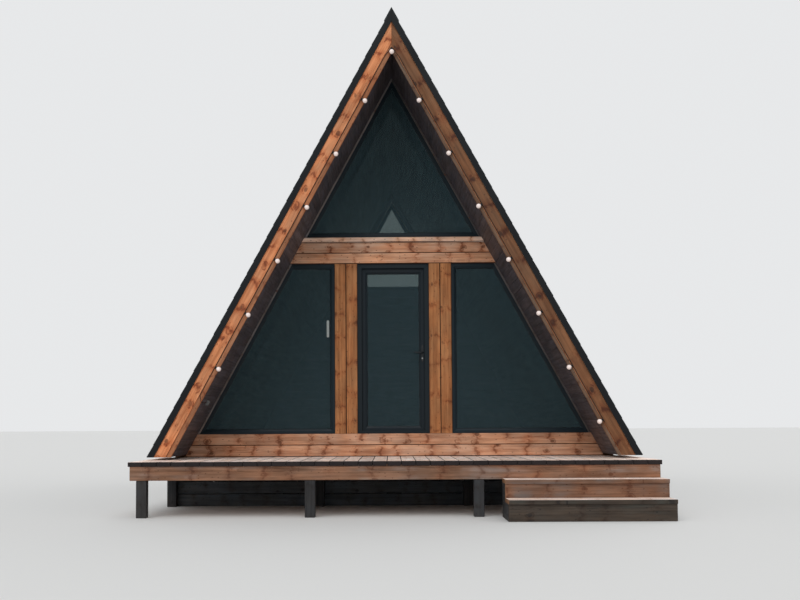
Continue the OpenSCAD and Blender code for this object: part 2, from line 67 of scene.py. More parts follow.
# Lengths and thicknesses along the cabin, and the places that they lead to from the front wall's face
CABIN_LEN, DECK_D, OVERHANG, REAR_OVERHANG = 6.65, 1.72, 1.05, 0.3
WALL_T, BARGE_T, VERGE_LIP = 0.145, 0.028, 0.012
WALL_Y = -2.321
FRAME_Y = WALL_Y + 0.03
DECK_FRONT_Y = WALL_Y - DECK_D
RIM_Y = DECK_FRONT_Y + 0.02
BARGE_Y = WALL_Y - OVERHANG
MIDDLE_Y = WALL_Y + CABIN_LEN / 2
REAR_OUT_Y = WALL_Y + CABIN_LEN
REAR_IN_Y = REAR_OUT_Y - WALL_T
REAR_BARGE_Y = REAR_OUT_Y + REAR_OVERHANG - BARGE_T
ROOM_Y = (WALL_Y + WALL_T, REAR_IN_Y)
ROOF_Y = (BARGE_Y + BARGE_T, REAR_BARGE_Y)
VERGE_Y = (BARGE_Y - VERGE_LIP, REAR_BARGE_Y + BARGE_T + VERGE_LIP)

# Widths across the cabin
DECK_HALF, STEPS_X = 2.851, 1.15
RIM_X = DECK_HALF - 0.015
DOORWAY, POST_W, POST_JOINT = 0.445, 0.137, 0.002
WINDOW_X = DOORWAY + 2 * POST_W + POST_JOINT
FRAME_W, REAR_MARGIN = 0.056, 0.09

# Offsets out of the lining's face, across the slope
LINING_T, RAFTER_H, COVER_T = 0.02, 0.125, 0.074
RAFTER_IN = LINING_T + SEAT
RAFTER_OUT = RAFTER_IN + RAFTER_H
COVER_IN = RAFTER_OUT + SEAT
COVER_OUT = COVER_IN + COVER_T
TRIM_IN, TRIM_OUT = -0.026, 0.019
TRIM_GROOVE = {"left": (TRIM_OUT, 0.029), "right": (0.009, 0.018)}

# Timber under the floor and the deck
DECK_T, JOIST_T, JOIST_H = 0.05, 0.045, 0.15
JOIST_TOP = DECK_Z - DECK_T
JOIST_Z = JOIST_TOP - JOIST_H
SKIRT_T = 0.022
BEARER_X, BEARER_Z, SIDE_SILL_Z = 1.3, FOOT_Z - 0.15, FOOT_Z - 0.18
DECK_POST, PIER = 0.11, 0.19

# Steps
GOING, RISE, STEP_BOARD = 0.3, 0.19, 0.025
TREAD_T, TREAD_W, TREAD_GAP, NOSING = 0.045, 0.157, 0.006, 0.02


def hw(z, off=0.0):
    """Half width of the room under one slope at height z, at an offset across that slope."""
    return (APEX_Z - z) / TAN + off / SIN


def peak(off):
    """The height at which the two slopes meet, at an offset across them."""
    return APEX_Z + off / COS


def on_slope(side, run, off):
    """X and Z at a run up the slope from its foot on the lining's face, and an offset out of it."""
    return side * (hw(FOOT_Z) - run * COS + off * SIN), FOOT_Z + run * SIN + off * COS


def up_slope(side):
    return Vector((-side * COS, 0, SIN))


def out_slope(side):
    return Vector((side * SIN, 0, COS))


def mirrored(side, first, second):
    """A span on one side of the middle, with its lower end first."""
    return sorted((side * first, side * second))


def spans(low, high, count, gap):
    """Equal lengths from low to high with a gap between them."""
    step = (high - low + gap) / count
    return [(low + i * step, low + (i + 1) * step - gap) for i in range(count)]


# Node graphs


def srgb(*parts):
    """A linear colour from red, green and blue out of 255."""
    shares = [part / 255.0 for part in parts]
    return (*(s / 12.92 if s <= 0.04045 else ((s + 0.055) / 1.055) ** 2.4 for s in shares), 1.0)


class Term:
    """A node's output that takes plain arithmetic, each step of it a node."""

    def __init__(self, graph, socket):
        self.graph, self.socket = graph, socket

    def __add__(self, other):
        return self.graph.math("ADD", self, other)

    def __sub__(self, other):
        return self.graph.math("SUBTRACT", self, other)

    def __rsub__(self, other):
        return self.graph.math("SUBTRACT", other, self)

    def __mul__(self, other):
        return self.graph.math("MULTIPLY", self, other)

    def __truediv__(self, other):
        return self.graph.math("DIVIDE", self, other)

    def __abs__(self):
        return self.graph.math("ABSOLUTE", self)


class Graph:
    """The nodes of a material or a world."""

    def __init__(self, owner, output="ShaderNodeOutputMaterial"):
        self.owner = owner
        owner.use_nodes = True
        owner.node_tree.nodes.clear()
        self.output = output

    def node(self, kind, values=(), **settings):
        """A node with its settings, its inputs filled from a row of values or from a table by name."""
        made = self.owner.node_tree.nodes.new(kind)
        for key, value in settings.items():
            setattr(made, key, value)
        for key, value in values.items() if isinstance(values, dict) else enumerate(values):
            if isinstance(value, Term):
                self.owner.node_tree.links.new(value.socket, made.inputs[key])
            elif value is not None:
                made.inputs[key].default_value = value
        return made

    def term(self, made, output=0):
        return Term(self, made.outputs[output])

    def math(self, operation, *values, clamp=False):
        return self.term(self.node("ShaderNodeMath", values, operation=operation, use_clamp=clamp))

    def distance(self, first, second):
        return self.math("SQRT", first * first + second * second)

    def stretched(self, place, x, y, z):
        return self.term(self.node("ShaderNodeVectorMath", (place, (x, y, z)), operation="MULTIPLY"))

    def noise(self, place, scale=1.0, detail=2.0, roughness=0.5):
        inputs = {"Vector": place, "Scale": scale, "Detail": detail, "Roughness": roughness}
        return self.term(self.node("ShaderNodeTexNoise", inputs), "Fac")

    def cells(self, place, scale, dimensions="3D"):
        """The distance to the nearest cell's middle, and three random numbers for each cell."""
        inputs = {"Vector": place, "Scale": scale}
        made = self.node("ShaderNodeTexVoronoi", inputs, voronoi_dimensions=dimensions)
        return self.term(made, "Distance"), self.split(self.term(made, "Color"))

    def chance(self, place):
        """Three random numbers that stay the same over each whole cell."""
        made = self.node("ShaderNodeTexWhiteNoise", {"Vector": place}, noise_dimensions="3D")
        return self.split(self.term(made, "Color"))

    def level(self, value, low, high, to_low=0.0, to_high=1.0):
        """A smooth step of a value from low to high."""
        inputs = (value, low, high, to_low, to_high)
        return self.term(self.node("ShaderNodeMapRange", inputs, interpolation_type="SMOOTHSTEP"))

    def mix(self, factor, first, second, blend="MIX"):
        """Two colours mixed; the node's colour sockets are its inputs 6 and 7 and its output 2."""
        inputs = {0: factor, 6: first, 7: second}
        return self.term(self.node("ShaderNodeMix", inputs, data_type="RGBA", blend_type=blend), 2)

    def mix_shaders(self, factor, first, second):
        return self.term(self.node("ShaderNodeMixShader", (factor, first, second)))

    def shade(self, colour, factor):
        """A colour made lighter or darker, worked out here where it is a plain one."""
        if isinstance(colour, tuple):
            return tuple(part * factor for part in colour[:3]) + (1.0,)
        return self.term(self.node("ShaderNodeVectorMath", {0: colour, 3: factor}, operation="SCALE"))

    def attribute(self, name, output="Vector"):
        return self.term(self.node("ShaderNodeAttribute", attribute_name=name), output)

    def place(self):
        return self.term(self.node("ShaderNodeTexCoord"), "Object")

    def split(self, place):
        made = self.node("ShaderNodeSeparateXYZ", (place,))
        return [self.term(made, i) for i in range(3)]

    def joined(self, x, y, z=0.0):
        return self.term(self.node("ShaderNodeCombineXYZ", (x, y, z)))

    def late_wood(self, rings):
        """The dark part of each growth ring, from a count of rings."""
        saw = self.math("FRACT", rings)
        return self.level(saw, 0.35, 0.9) * self.level(saw, 1.0, 0.92)

    def bump(self, height, strength, distance):
        inputs = {"Strength": strength, "Distance": distance, "Height": height}
        return self.term(self.node("ShaderNodeBump", inputs))

    def principled(self, colour, roughness, normal=None, **others):
        inputs = {"Base Color": colour, "Roughness": roughness, "Normal": normal}
        inputs.update({key.replace("_", " "): value for key, value in others.items()})
        return self.term(self.node("ShaderNodeBsdfPrincipled", inputs))

    def finish(self, shader):
        self.node(self.output, {"Surface": shader})
        return self.owner


def material(name):
    return Graph(bpy.data.materials.new(name))


KNOT_GAP = 0.088
RINGS_A_METRE = 210.0
WARM, STAINED, DUSKY = (1.03, 0.93, 0.84, 1.0), (0.78, 0.58, 0.46, 1.0), (0.40, 0.27, 0.21, 1.0)


def wood(name, light, dark, knots, rings=1.0, streaks=1.0, gloss=0.0, knot_colour=(98, 56, 34),
         knot_share=0.62, whorl_gap=0.30, swirls=0.8, pins=0.18, worn=None):
    """Sawn softwood that reads where it is on its board from the mesh, in metres.

    The colours are out of 255; worn is how much of its faces is weathered, then the weathered colour.
    """
    g = material(name)
    grain = g.attribute("grain")
    tone = g.attribute("tone", "Fac")
    x, y, z = g.split(grain)
    knot_colour = srgb(*knot_colour)

    def flow(along, across, detail, roughness=0.5):
        """Noise drawn out along the grain."""
        return g.noise(g.stretched(grain, along, across, across), 1.0, detail, roughness)

    # Whorls of knots across the board, each knot with its own place and size
    knot_gap = KNOT_GAP * knots
    whorl = g.math("FLOOR", x / whorl_gap)
    row = g.math("FLOOR", y / knot_gap)
    jump = g.chance(g.joined(whorl, 3.0))[1]
    pick = g.chance(g.joined(whorl, row, 7.0))
    from_whorl = x - (whorl + (jump * 0.5 + 0.25)) * whorl_gap
    off_x = from_whorl - (pick[0] - 0.5) * 0.05
    off_y = y - (row + (pick[1] * 0.4 + 0.3)) * knot_gap
    lumps = (g.noise(grain, 28.0, 3.0, 0.6) - 0.5) * 0.030
    away = g.distance(off_x * 0.72, off_y) + lumps * 0.7
    chosen = g.math("LESS_THAN", pick[2], knot_share)
    radius = (pick[2] * (0.018 / knot_share) + 0.008) * knots * chosen
    knot = g.math("DIVIDE", radius - away, radius * 0.35 + 0.0004, clamp=True)

    # Stained bands beside the whorls, and arcs round the knots
    bend = flow(4.0, 13.0, 2.0) - 0.5
    near = abs(from_whorl + bend * 0.17)
    drift = flow(9.0, 17.0, 3.0, 0.6)
    stain = g.level(near, 0.080 * knots, 0.010) * g.level(drift, 0.34, 0.56)
    band = g.level(near, 0.024 * knots, 0.006) * g.level(drift, 0.44, 0.54)
    ring = abs(away - radius * 1.3)
    arc = g.level(ring, 0.0085 * knots, 0.002) * g.level(drift, 0.46, 0.53) * chosen
    halo = g.math("MAXIMUM", stain, knot)

    # Growth rings around a heart beside the board, pushed aside by the knots
    sway = flow(1.1, 4.0, 2.0) - 0.5
    core = g.distance(y + sway * 0.05, z)
    late = g.late_wood(core * RINGS_A_METRE + halo * 4.0)
    fibre = flow(6.0, 420.0, 3.0, 0.6)
    streak = flow(1.6, 34.0, 4.0, 0.6)
    cloud = flow(2.4, 8.0, 4.0, 0.6)
    hue = flow(3.1, 6.0, 2.0)

    fine = late * (0.34 * rings) + fibre * 0.22
    depth = g.math("ADD", fine, g.level(streak, 0.36, 0.70, 0.0, 0.60 * streaks), clamp=True)
    colour = g.mix(depth, srgb(*light), srgb(*dark))
    colour = g.mix(g.level(hue, 0.35, 0.65), colour, WARM, "MULTIPLY")
    colour = g.shade(colour, g.level(cloud, 0.3, 0.7, 0.76, 1.18) + tone * 0.26 - 0.10)
    if worn:
        wash = flow(0.9, 11.0, 4.0, 0.6)
        patch = flow(1.9, 1.9, 3.0, 0.6)
        where = g.level(wash, 0.38, 0.66) * g.level(patch, 0.40, 0.62)
        colour = g.mix(where * worn[0], colour, srgb(*worn[1:]))
    colour = g.mix(stain * (0.9 * swirls), colour, STAINED, "MULTIPLY")
    dusky = g.math("MAXIMUM", band, arc) * g.level(fibre, 0.30, 0.62, 0.55, 1.0)
    colour = g.mix(dusky * swirls, colour, DUSKY, "MULTIPLY")
    inner = g.math("FRACT", away * 330.0)
    knot_shade = g.mix(inner * 0.6, knot_colour, g.shade(knot_colour, 0.4))
    colour = g.mix(knot * g.level(pick[0], 0.3, 0.7, 0.15, 0.75), colour, knot_shade)
    middle, cell = g.cells(g.joined(x * 14.0, y * 30.0), 1.0, "2D")
    pin = g.level(middle, 0.16, 0.07) * g.math("LESS_THAN", cell[0], pins)
    colour = g.mix(pin * 0.85, colour, g.shade(knot_colour, 0.6))
    rough = g.level(streak, 0.3, 0.7, 0.58, 0.74) - gloss
    normal = g.bump(late * 0.6 + fibre * 0.7 - knot * 0.5, 0.35, 0.0008)
    return g.finish(g.principled(colour, rough, normal, Specular_IOR_Level=0.28))


def end_grain(name, light, dark):
    g = material(name)
    grain = g.attribute("grain")
    tone = g.attribute("tone", "Fac")
    _, y, z = g.split(grain)
    wave = (g.noise(grain, 22.0, 2.0) - 0.5) * 0.006
    late = g.late_wood((g.distance(y, z) + wave) * RINGS_A_METRE)
    pores = g.noise(grain, 900.0, 2.0, 0.6)
    checks = g.level(g.noise(g.stretched(grain, 1.0, 160.0, 24.0), 1.0, 2.0), 0.60, 0.72)
    colour = g.mix(late * 0.6 + pores * 0.3, srgb(*light), srgb(*dark))
    colour = g.shade(colour, tone * 0.3 + 0.8)
    colour = g.mix(checks * 0.6, colour, g.shade(colour, 0.35))
    return g.finish(g.principled(colour, 0.8, g.bump(pores - checks, 0.4, 0.001), Specular_IOR_Level=0.25))


def paint(name, colour, rough, specular):
    """Painted metal or timber, or rubber: a fine orange peel, faint dust and rubbed places."""
    g = material(name)
    colour = srgb(*colour)
    place = g.place()
    peel = g.noise(place, 900.0, 2.0)
    dust_and_painted_light = g.noise(g.stretched(place, 3.0, 3.0, 1.2), 1.0, 4.0, 0.6)
    tint = g.mix(g.level(dust_and_painted_light, 0.45, 0.75, 0.0, 0.5), colour, g.shade(colour, 1.6))
    smooth = g.level(dust_and_painted_light, 0.3, 0.7, rough - 0.08, rough + 0.10)
    return g.finish(g.principled(tint, smooth, g.bump(peel, 0.12, 0.0004), Specular_IOR_Level=specular))


def metal(name, colour, rough):
    """Brushed metal, with the lines of the brush up and down."""
    g = material(name)
    colour = srgb(*colour)
    lines = g.noise(g.stretched(g.place(), 260.0, 260.0, 15.6), 1.0, 3.0, 0.6)
    tint = g.mix(g.level(lines, 0.3, 0.7, 0.0, 0.35), colour, g.shade(colour, 0.7))
    smooth = g.level(lines, 0.3, 0.7, rough - 0.06, rough + 0.08)
    return g.finish(g.principled(tint, smooth, g.bump(lines, 0.1, 0.0003), Metallic=1.0))


def plastic(name, colour, rough, **others):
    g = material(name)
    haze = g.noise(g.place(), 60.0, 3.0)
    tint = g.mix(g.level(haze, 0.35, 0.75, 0.0, 0.35), colour, g.shade(colour, 0.84))
    smooth = g.level(haze, 0.3, 0.7, rough - 0.05, rough + 0.08)
    return g.finish(g.principled(tint, smooth, g.bump(haze, 0.05, 0.0005), **others))


def shingle(name, colour):
    """Mineral granules on bitumen, with a tone for each tab."""
    g = material(name)
    place = g.place()
    tone = g.attribute("tone", "Fac")
    middle, speck = g.cells(place, 420.0)
    patch = g.noise(place, 2.2, 4.0, 0.6)
    value = speck[0] * 0.9 + tone * 0.7 + g.level(patch, 0.3, 0.7, -0.15, 0.2)
    tint = g.shade(g.mix(g.level(speck[1], 0.75, 1.0), colour, g.shade(colour, 2.3)), value)
    return g.finish(g.principled(tint, 0.88, g.bump(1.0 - middle, 0.6, 0.0012), Specular_IOR_Level=0.3))


def glass(name, cover, dust_and_painted_light):
    """Double glazing: what is behind shows darkened under a blue-grey film whose colour is a painted
    reflection, with painted light on it beside the slopes to lift the shade there.
    """
    g = material(name)
    place = g.place()
    x, _, z = g.split(place)
    beside = (APEX_Z - z) * COS - abs(x) * SIN
    # Painted light: the film is made paler towards the slopes to lift the shade under the roof's overhang.
    painted_light_near_slopes = g.level(beside, 0.34, 0.02, 0.0, dust_and_painted_light)
    # The film's diffuse blue-grey colour stands in for the reflections in the panes: a painted reflection.
    painted_reflection_film = g.mix(painted_light_near_slopes, (0.038, 0.065, 0.078, 1.0), (0.080, 0.136, 0.160, 1.0))
    smear = g.noise(g.stretched(place, 2.6, 2.6, 1.0), 1.0, 5.0, 0.6)
    ripple = g.bump(g.noise(place, 1.6, 2.0), 0.05, 0.02)
    clear = g.term(g.node("ShaderNodeBsdfTransparent", {"Color": (0.86, 0.91, 0.90, 1.0)}))
    skin = g.principled(painted_reflection_film, g.level(smear, 0.4, 0.8, 0.04, 0.18), ripple,
                        Specular_IOR_Level=0.3, Specular_Tint=(0.7, 0.96, 1.0, 1.0))
    return g.finish(g.mix_shaders(cover, clear, skin))


M = {}
END_OF = {}


def timber(key, light, dark, knots, end="end", **others):
    """A wood under its key, with the key of what its sawn ends show."""
    M[key] = wood(key + "_timber", light, dark, knots, **others)
    END_OF[key] = end


DARK = {"end": "dark_end", "knot_colour": (34, 30, 30)}
BEAM_WORN = (0.4, 222, 194, 172)

# The two barge boards are one stained timber; the right one is painted darker, with darker knots and
# weathering: painted shade.
timber("barge_left", (224, 154, 108), (174, 103, 62), 1.3, whorl_gap=0.25, pins=0.05, knot_share=0.8,
       swirls=0.95, worn=(0.3, 192, 150, 120))
timber("barge_right", (132, 90, 59), (94, 60, 36), 1.5, whorl_gap=0.40, pins=0.05, knot_share=0.8,
       swirls=1.0, worn=(0.3, 110, 86, 68), knot_colour=(50, 30, 20))
# The two trims are one timber; the right one is painted darker: painted shade.
timber("trim_left", (164, 112, 78), (122, 76, 50), 0.6, knot_share=0.4, swirls=0.6,
       worn=(0.4, 162, 128, 104))
timber("trim_right", (106, 82, 64), (76, 56, 43), 0.6, knot_share=0.4, swirls=0.6,
       worn=(0.5, 128, 112, 98))
# The groove's timber is painted lighter to lift the shade in its recess: painted light. It is lighter than
# the right barge board it is cut into.
timber("groove", (194, 136, 100), (146, 96, 68), 0.6, end="groove")
# Dark timber for faces that look down, under the beams and the ledge's lip, as painted shade, and for the
# faces where the double posts meet, a dark joint with painted shade.
timber("joint", (78, 52, 38), (50, 34, 26), 0.6)
timber("ledge", (248, 214, 192), (208, 166, 140), 0.7, knot_share=0.4, swirls=0.6,
       worn=(0.5, 240, 222, 208))
# The upper transom beam's timber is painted darker than the lower one's: painted shade under the ledge.
timber("beam", (209, 158, 125), (164, 112, 82), 0.9, whorl_gap=0.27, knot_share=0.75, swirls=0.95,
       worn=BEAM_WORN)
timber("low_beam", (222, 171, 136), (178, 121, 88), 0.8, whorl_gap=0.36, knot_share=0.4, swirls=0.55,
       worn=BEAM_WORN)
timber("post", (182, 126, 80), (136, 86, 51), 0.75, whorl_gap=0.36, knot_share=0.5, swirls=0.6)
timber("sill", (216, 168, 136), (162, 112, 84), 1.1, knot_share=0.6, worn=(0.3, 208, 180, 160))
timber("deck", (252, 238, 230), (226, 200, 188), 0.6, whorl_gap=0.5, knot_share=0.4, swirls=0.4,
       worn=(0.6, 232, 222, 216))
timber("rim", (158, 118, 93), (108, 76, 56), 1.1, whorl_gap=0.38, swirls=0.6,
       worn=(0.6, 146, 136, 130))
timber("riser", (132, 98, 77), (90, 64, 49), 1.0, whorl_gap=0.38, swirls=0.6,
       worn=(0.7, 106, 104, 102))
# The lower riser's timber is the upper riser's painted much darker, with a greenish weathering: painted
# shade.
timber("low_riser", (72, 63, 55), (47, 41, 36), 1.0, whorl_gap=0.38, swirls=0.5,
       worn=(0.6, 64, 70, 66), **DARK)
timber("raw", (186, 154, 122), (140, 108, 82), 1.0, knot_share=0.4, swirls=0.5)
timber("side_sill", (140, 100, 74), (96, 66, 48), 1.0, knot_share=0.4, worn=(0.6, 112, 104, 98))
timber("dark", (54, 55, 57), (34, 35, 38), 0.8, swirls=0.4, **DARK)
# The skirt's dark bluish colour is partly painted shade, the shade under the cabin and the deck.
timber("skirt", (76, 81, 86), (53, 58, 63), 0.8, swirls=0.4, **DARK)
timber("lining", (90, 86, 92), (64, 61, 66), 0.8, rings=0.6, streaks=0.6, gloss=0.12, swirls=0.3, **DARK)
# The cover strips are one timber; the left one is painted lighter than the right to lift the shade it lies
# in: painted light.
timber("left_strip", (132, 127, 126), (106, 101, 101), 0.6, swirls=0.3)
timber("right_strip", (92, 88, 89), (74, 70, 71), 0.6, swirls=0.3)
timber("floor", (104, 84, 68), (68, 52, 42), 0.9, gloss=0.15, swirls=0.5)
timber("rear", (190, 136, 98), (138, 90, 60), 0.95, whorl_gap=0.42, knot_share=0.32, swirls=0.55,
       worn=(0.35, 170, 148, 132))

M.update({
    "end": end_grain("end_grain", (150, 110, 80), (96, 66, 46)),
    # Dark end grain, also put on the deck boards' sides as painted shade in the gaps between them.
    "deck_end_and_gap_shade": end_grain("deck_end_grain_and_gap_shade", (45, 38, 38), (26, 23, 23)),
    "dark_end": end_grain("dark_end_grain", (64, 54, 50), (38, 32, 30)),
    "frame": paint("frame_paint", (16, 27, 33), 0.46, 0.2),
    # The window frames' paint is the door frame's paint made lighter, to lift the shade beside the slopes:
    # painted light.
    "sash": paint("sash_paint", (20, 33, 40), 0.46, 0.2),
    "leaf": paint("leaf_paint", (15, 26, 33), 0.44, 0.2),
    "rubber": paint("black_rubber", (20, 20, 22), 0.62, 0.25),
    "cable": paint("cable_sheath", (56, 42, 34), 0.6, 0.25),
    "handle": paint("handle_paint", (20, 26, 30), 0.38, 0.3),
    "edge": paint("roof_edge_paint", (15, 18, 21), 0.6, 0.2),
    "spacer": metal("dark_spacer", (70, 74, 76), 0.45),
    "steel": metal("brushed_steel", (176, 176, 174), 0.30),
    "screw": metal("screw_steel", (96, 92, 88), 0.45),
    "shingle": shingle("bitumen_shingles", srgb(58, 66, 68)),
    # The last number of each glass is how much painted light lifts its panes beside the slopes.
    "glass": glass("window_glass", 0.36, 1.0),
    "rear_glass": glass("rear_window_glass", 0.48, 0.3),
    "bulb": plastic("frosted_bulb", (0.95, 0.82, 0.77, 1.0), 0.35,
                    Emission_Color=(0.95, 0.82, 0.77, 1.0), Emission_Strength=0.05),
    "white": plastic("white_plastic", srgb(160, 167, 165), 0.35),
    "grey": plastic("grey_plastic", srgb(120, 124, 124), 0.45),
    "red": plastic("red_plastic", srgb(190, 40, 34), 0.35),
})


# Pieces

SQUARE = 0.65  # a face that looks this far along its board is an end, and this far across it a side


class Part:
    """Solids collected into one mesh; each keeps its own grain and tone."""

    def __init__(self, name, seed):
        self.name, self.rng = name, random.Random(seed)
        self.verts, self.faces, self.grain, self.tone = [], [], [], []
        self.slots, self.face_slots, self.smooth = [], [], []

    def take(self, bm, keys, along, thick, tone=None, smooth=True):
        """Adds a solid with the keys of its wide faces, its two sides and its ends."""
        bmesh.ops.recalc_face_normals(bm, faces=bm.faces[:])
        along, thick = Vector(along).normalized(), Vector(thick).normalized()
        across = thick.cross(along).normalized()
        bm.verts.index_update()
        middle = sum((v.co for v in bm.verts), Vector()) / len(bm.verts)
        rng = self.rng
        start = (rng.uniform(0, 60), rng.uniform(-0.06, 0.06), rng.choice(SIDES) * rng.uniform(0.03, 0.13))
        tone = rng.random() if tone is None else tone
        first = len(self.verts)
        for vert in bm.verts:
            self.verts.append(tuple(vert.co))
            for way, shift in zip((along, across, thick), start):
                self.grain.append((vert.co - middle).dot(way) + shift)
            self.tone.append(tone)
        for key in keys:
            if key not in self.slots:
                self.slots.append(key)
        wide, plus, minus, end = (self.slots.index(key) for key in keys)
        for face in bm.faces:
            lean = face.normal.dot(across)
            side = plus if lean > SQUARE else minus if lean < -SQUARE else wide
            self.faces.append([first + v.index for v in face.verts])
            self.face_slots.append(end if abs(face.normal.dot(along)) > SQUARE else side)
            self.smooth.append(smooth)
        bm.free()

    def solid(self, low, high, key, along, thick=Y, bevel=0.002, end_key=None, side_key=None, segments=1,
              **others):
        """A closed solid between two loops of as many points."""
        bm = bmesh.new()
        lows = [bm.verts.new(point) for point in low]
        highs = [bm.verts.new(point) for point in high]
        bm.faces.new(lows)
        bm.faces.new(highs[::-1])
        for i in range(len(lows)):
            j = (i + 1) % len(lows)
            bm.faces.new((lows[i], highs[i], highs[j], lows[j]))
        bmesh.ops.recalc_face_normals(bm, faces=bm.faces[:])
        if bevel:
            bmesh.ops.bevel(bm, geom=bm.edges[:], offset=bevel, segments=segments, profile=0.5,
                            affect="EDGES", clamp_overlap=True)
        plus, minus = side_key if isinstance(side_key, tuple) else (side_key or key,) * 2
        self.take(bm, (key, plus, minus, end_key or END_OF.get(key, key)), along, thick, **others)

    def box(self, low, high, key, along=X, thick=Z, **others):
        (x0, y0, z0), (x1, y1, z1) = low, high
        self.along_z([(x0, y0), (x1, y0), (x1, y1), (x0, y1)], z0, z1, key, along, thick, **others)

    def along_x(self, outline, x0, x1, key, along=X, thick=Y, **others):
        loops = ([(x, y, z) for y, z in outline] for x in (x0, x1))
        self.solid(*loops, key, along, thick, **others)

    def along_y(self, outline, y0, y1, key, along=Y, thick=Z, **others):
        loops = ([(x, y, z) for x, z in outline] for y in (y0, y1))
        self.solid(*loops, key, along, thick, **others)

    def along_z(self, outline, z0, z1, key, along=Z, thick=Y, **others):
        loops = ([(x, y, z) for x, y in outline] for z in (z0, z1))
        self.solid(*loops, key, along, thick, **others)

    def band(self, outline, key, **others):
        """A beam across the cabin with a profile in Y and Z, cut along both slopes."""
        left, right = ([(side * hw(z, -SEAT), y, z) for y, z in outline] for side in SIDES)
        self.solid(left, right, key, X, **others)

    def rafter(self, side, z, in_off, out_off, y0, y1, key, ridge_gap=SEAT, **others):
        """A piece up the slope from a level cut at z to a plumb cut beside the ridge."""
        outline = [(side * hw(z, in_off), z), (side * hw(z, out_off), z),
                   (side * ridge_gap, peak(out_off)), (side * ridge_gap, peak(in_off))]
        self.along_y(outline, y0, y1, key, up_slope(side), Y, **others)

    def purlin(self, side, run0, run1, in_off, out_off, y0, y1, key, **others):
        """A board along the ridge's direction, trimmed level at the foot and plumb at the ridge."""
        (in0, out0), (in1, out1) = (
            [max(run0, run_at_foot(off)) for off in (in_off, out_off)],
            [min(run1, run_at_ridge(off)) for off in (in_off, out_off)])
        points = ((in0, in_off), (in1, in_off), (out1, out_off), (out0, out_off))
        self.along_y([on_slope(side, *point) for point in points], y0, y1, key, Y, out_slope(side), **others)

    def skin(self, bm, rings, key, along, thick):
        """Closes the surface over rings of points; a ring of one point is a tip."""
        for near, far in zip(rings, rings[1:]):
            sides = max(len(near), len(far))
            for k in range(sides):
                j = (k + 1) % sides
                loop = [near[k % len(near)], near[j % len(near)], far[j % len(far)], far[k % len(far)]]
                bm.faces.new(list(dict.fromkeys(loop)))
        for ring in (rings[0], rings[-1]):
            if len(ring) > 1:
                bm.faces.new(ring)
        self.take(bm, (key,) * 4, along, thick)

    def lathe(self, profile, start, axis, key, sides):
        """A turned piece: radii and distances along its axis."""
        axis = Vector(axis).normalized()
        spoke = axis.orthogonal().normalized()
        bm = bmesh.new()
        rings = []
        for radius, far in profile:
            centre = Vector(start) + axis * far
            rings.append(circle(bm, centre, radius, spoke, axis.cross(spoke), sides if radius else 1))
        self.skin(bm, rings, key, axis, spoke)

    def tube(self, path, radii, key, sides):
        """A round rod along a path of points, closed at both ends."""
        path = [Vector(point) for point in path]
        bm = bmesh.new()
        rings = []
        spoke = None
        for before, point, after, radius in zip(path[:1] + path, path, path[1:] + path[-1:], radii):
            way = ((point - before).normalized() + (after - point).normalized()).normalized()
            spoke = (way.orthogonal() if spoke is None else spoke - way * spoke.dot(way)).normalized()
            rings.append(circle(bm, point, radius, spoke, way.cross(spoke), sides))
        first = path[1] - path[0]
        self.skin(bm, rings, key, first, first.orthogonal())

    def frame(self, outline, profile, key, gap=0.0, bevel=0.0004):
        """Mitred members round an outline in X and Z; the profile holds insets (one or one an edge) and Y."""
        loops = [(inset(outline, dists), y) for dists, y in profile]
        for i, (x, z) in enumerate(outline):
            j = (i + 1) % len(outline)
            way = Vector((outline[j][0] - x, 0, outline[j][1] - z)).normalized()
            low = [Vector((loop[i][0], y, loop[i][1])) + way * gap for loop, y in loops]
            high = [Vector((loop[j][0], y, loop[j][1])) - way * gap for loop, y in loops]
            self.solid(low, high, key, way, bevel=bevel)

    def make(self, slot, *replaced, body=BODY):
        mesh = bpy.data.meshes.new(self.name)
        mesh.from_pydata(self.verts, [], self.faces)
        mesh.attributes.new("grain", "FLOAT_VECTOR", "POINT").data.foreach_set("vector", self.grain)
        mesh.attributes.new("tone", "FLOAT", "POINT").data.foreach_set("value", self.tone)
        for key in self.slots:
            mesh.materials.append(M[key])
        mesh.polygons.foreach_set("material_index", self.face_slots)
        mesh.polygons.foreach_set("use_smooth", self.smooth)
        mesh.update()
        made = bpy.data.objects.new(self.name, mesh)
        bpy.context.scene.collection.objects.link(made)
        made.modifiers.new("weighted", "WEIGHTED_NORMAL").keep_sharp = True
        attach(made, body)
        if replaced:
            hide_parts(*replaced)


def circle(bm, centre, radius, spoke, other, sides):
    """A ring of new points; one point in its middle where it has one side."""
    turns = [2 * math.pi * k / sides for k in range(sides)]
    return [bm.verts.new(centre + radius * (spoke * math.cos(a) + other * math.sin(a))) for a in turns]


def inset(outline, dists):
    """The outline with each edge moved inward by its own distance."""
    dists = dists if isinstance(dists, tuple) else (dists,) * len(outline)
    edges = list(zip(outline, outline[1:] + outline[:1]))
    turn = 1 if sum(x0 * z1 - x1 * z0 for (x0, z0), (x1, z1) in edges) > 0 else -1
    lines = []
    for ((x0, z0), (x1, z1)), dist in zip(edges, dists):
        length = math.hypot(x1 - x0, z1 - z0)
        a, b = -turn * (z1 - z0) / length, turn * (x1 - x0) / length
        lines.append((a, b, a * x0 + b * z0 + dist))
    corners = []
    for (a, b, c), (d, e, f) in zip(lines[-1:] + lines[:-1], lines):
        det = a * e - b * d
        corners.append(((c * e - b * f) / det, (a * f - c * d) / det))
    return corners


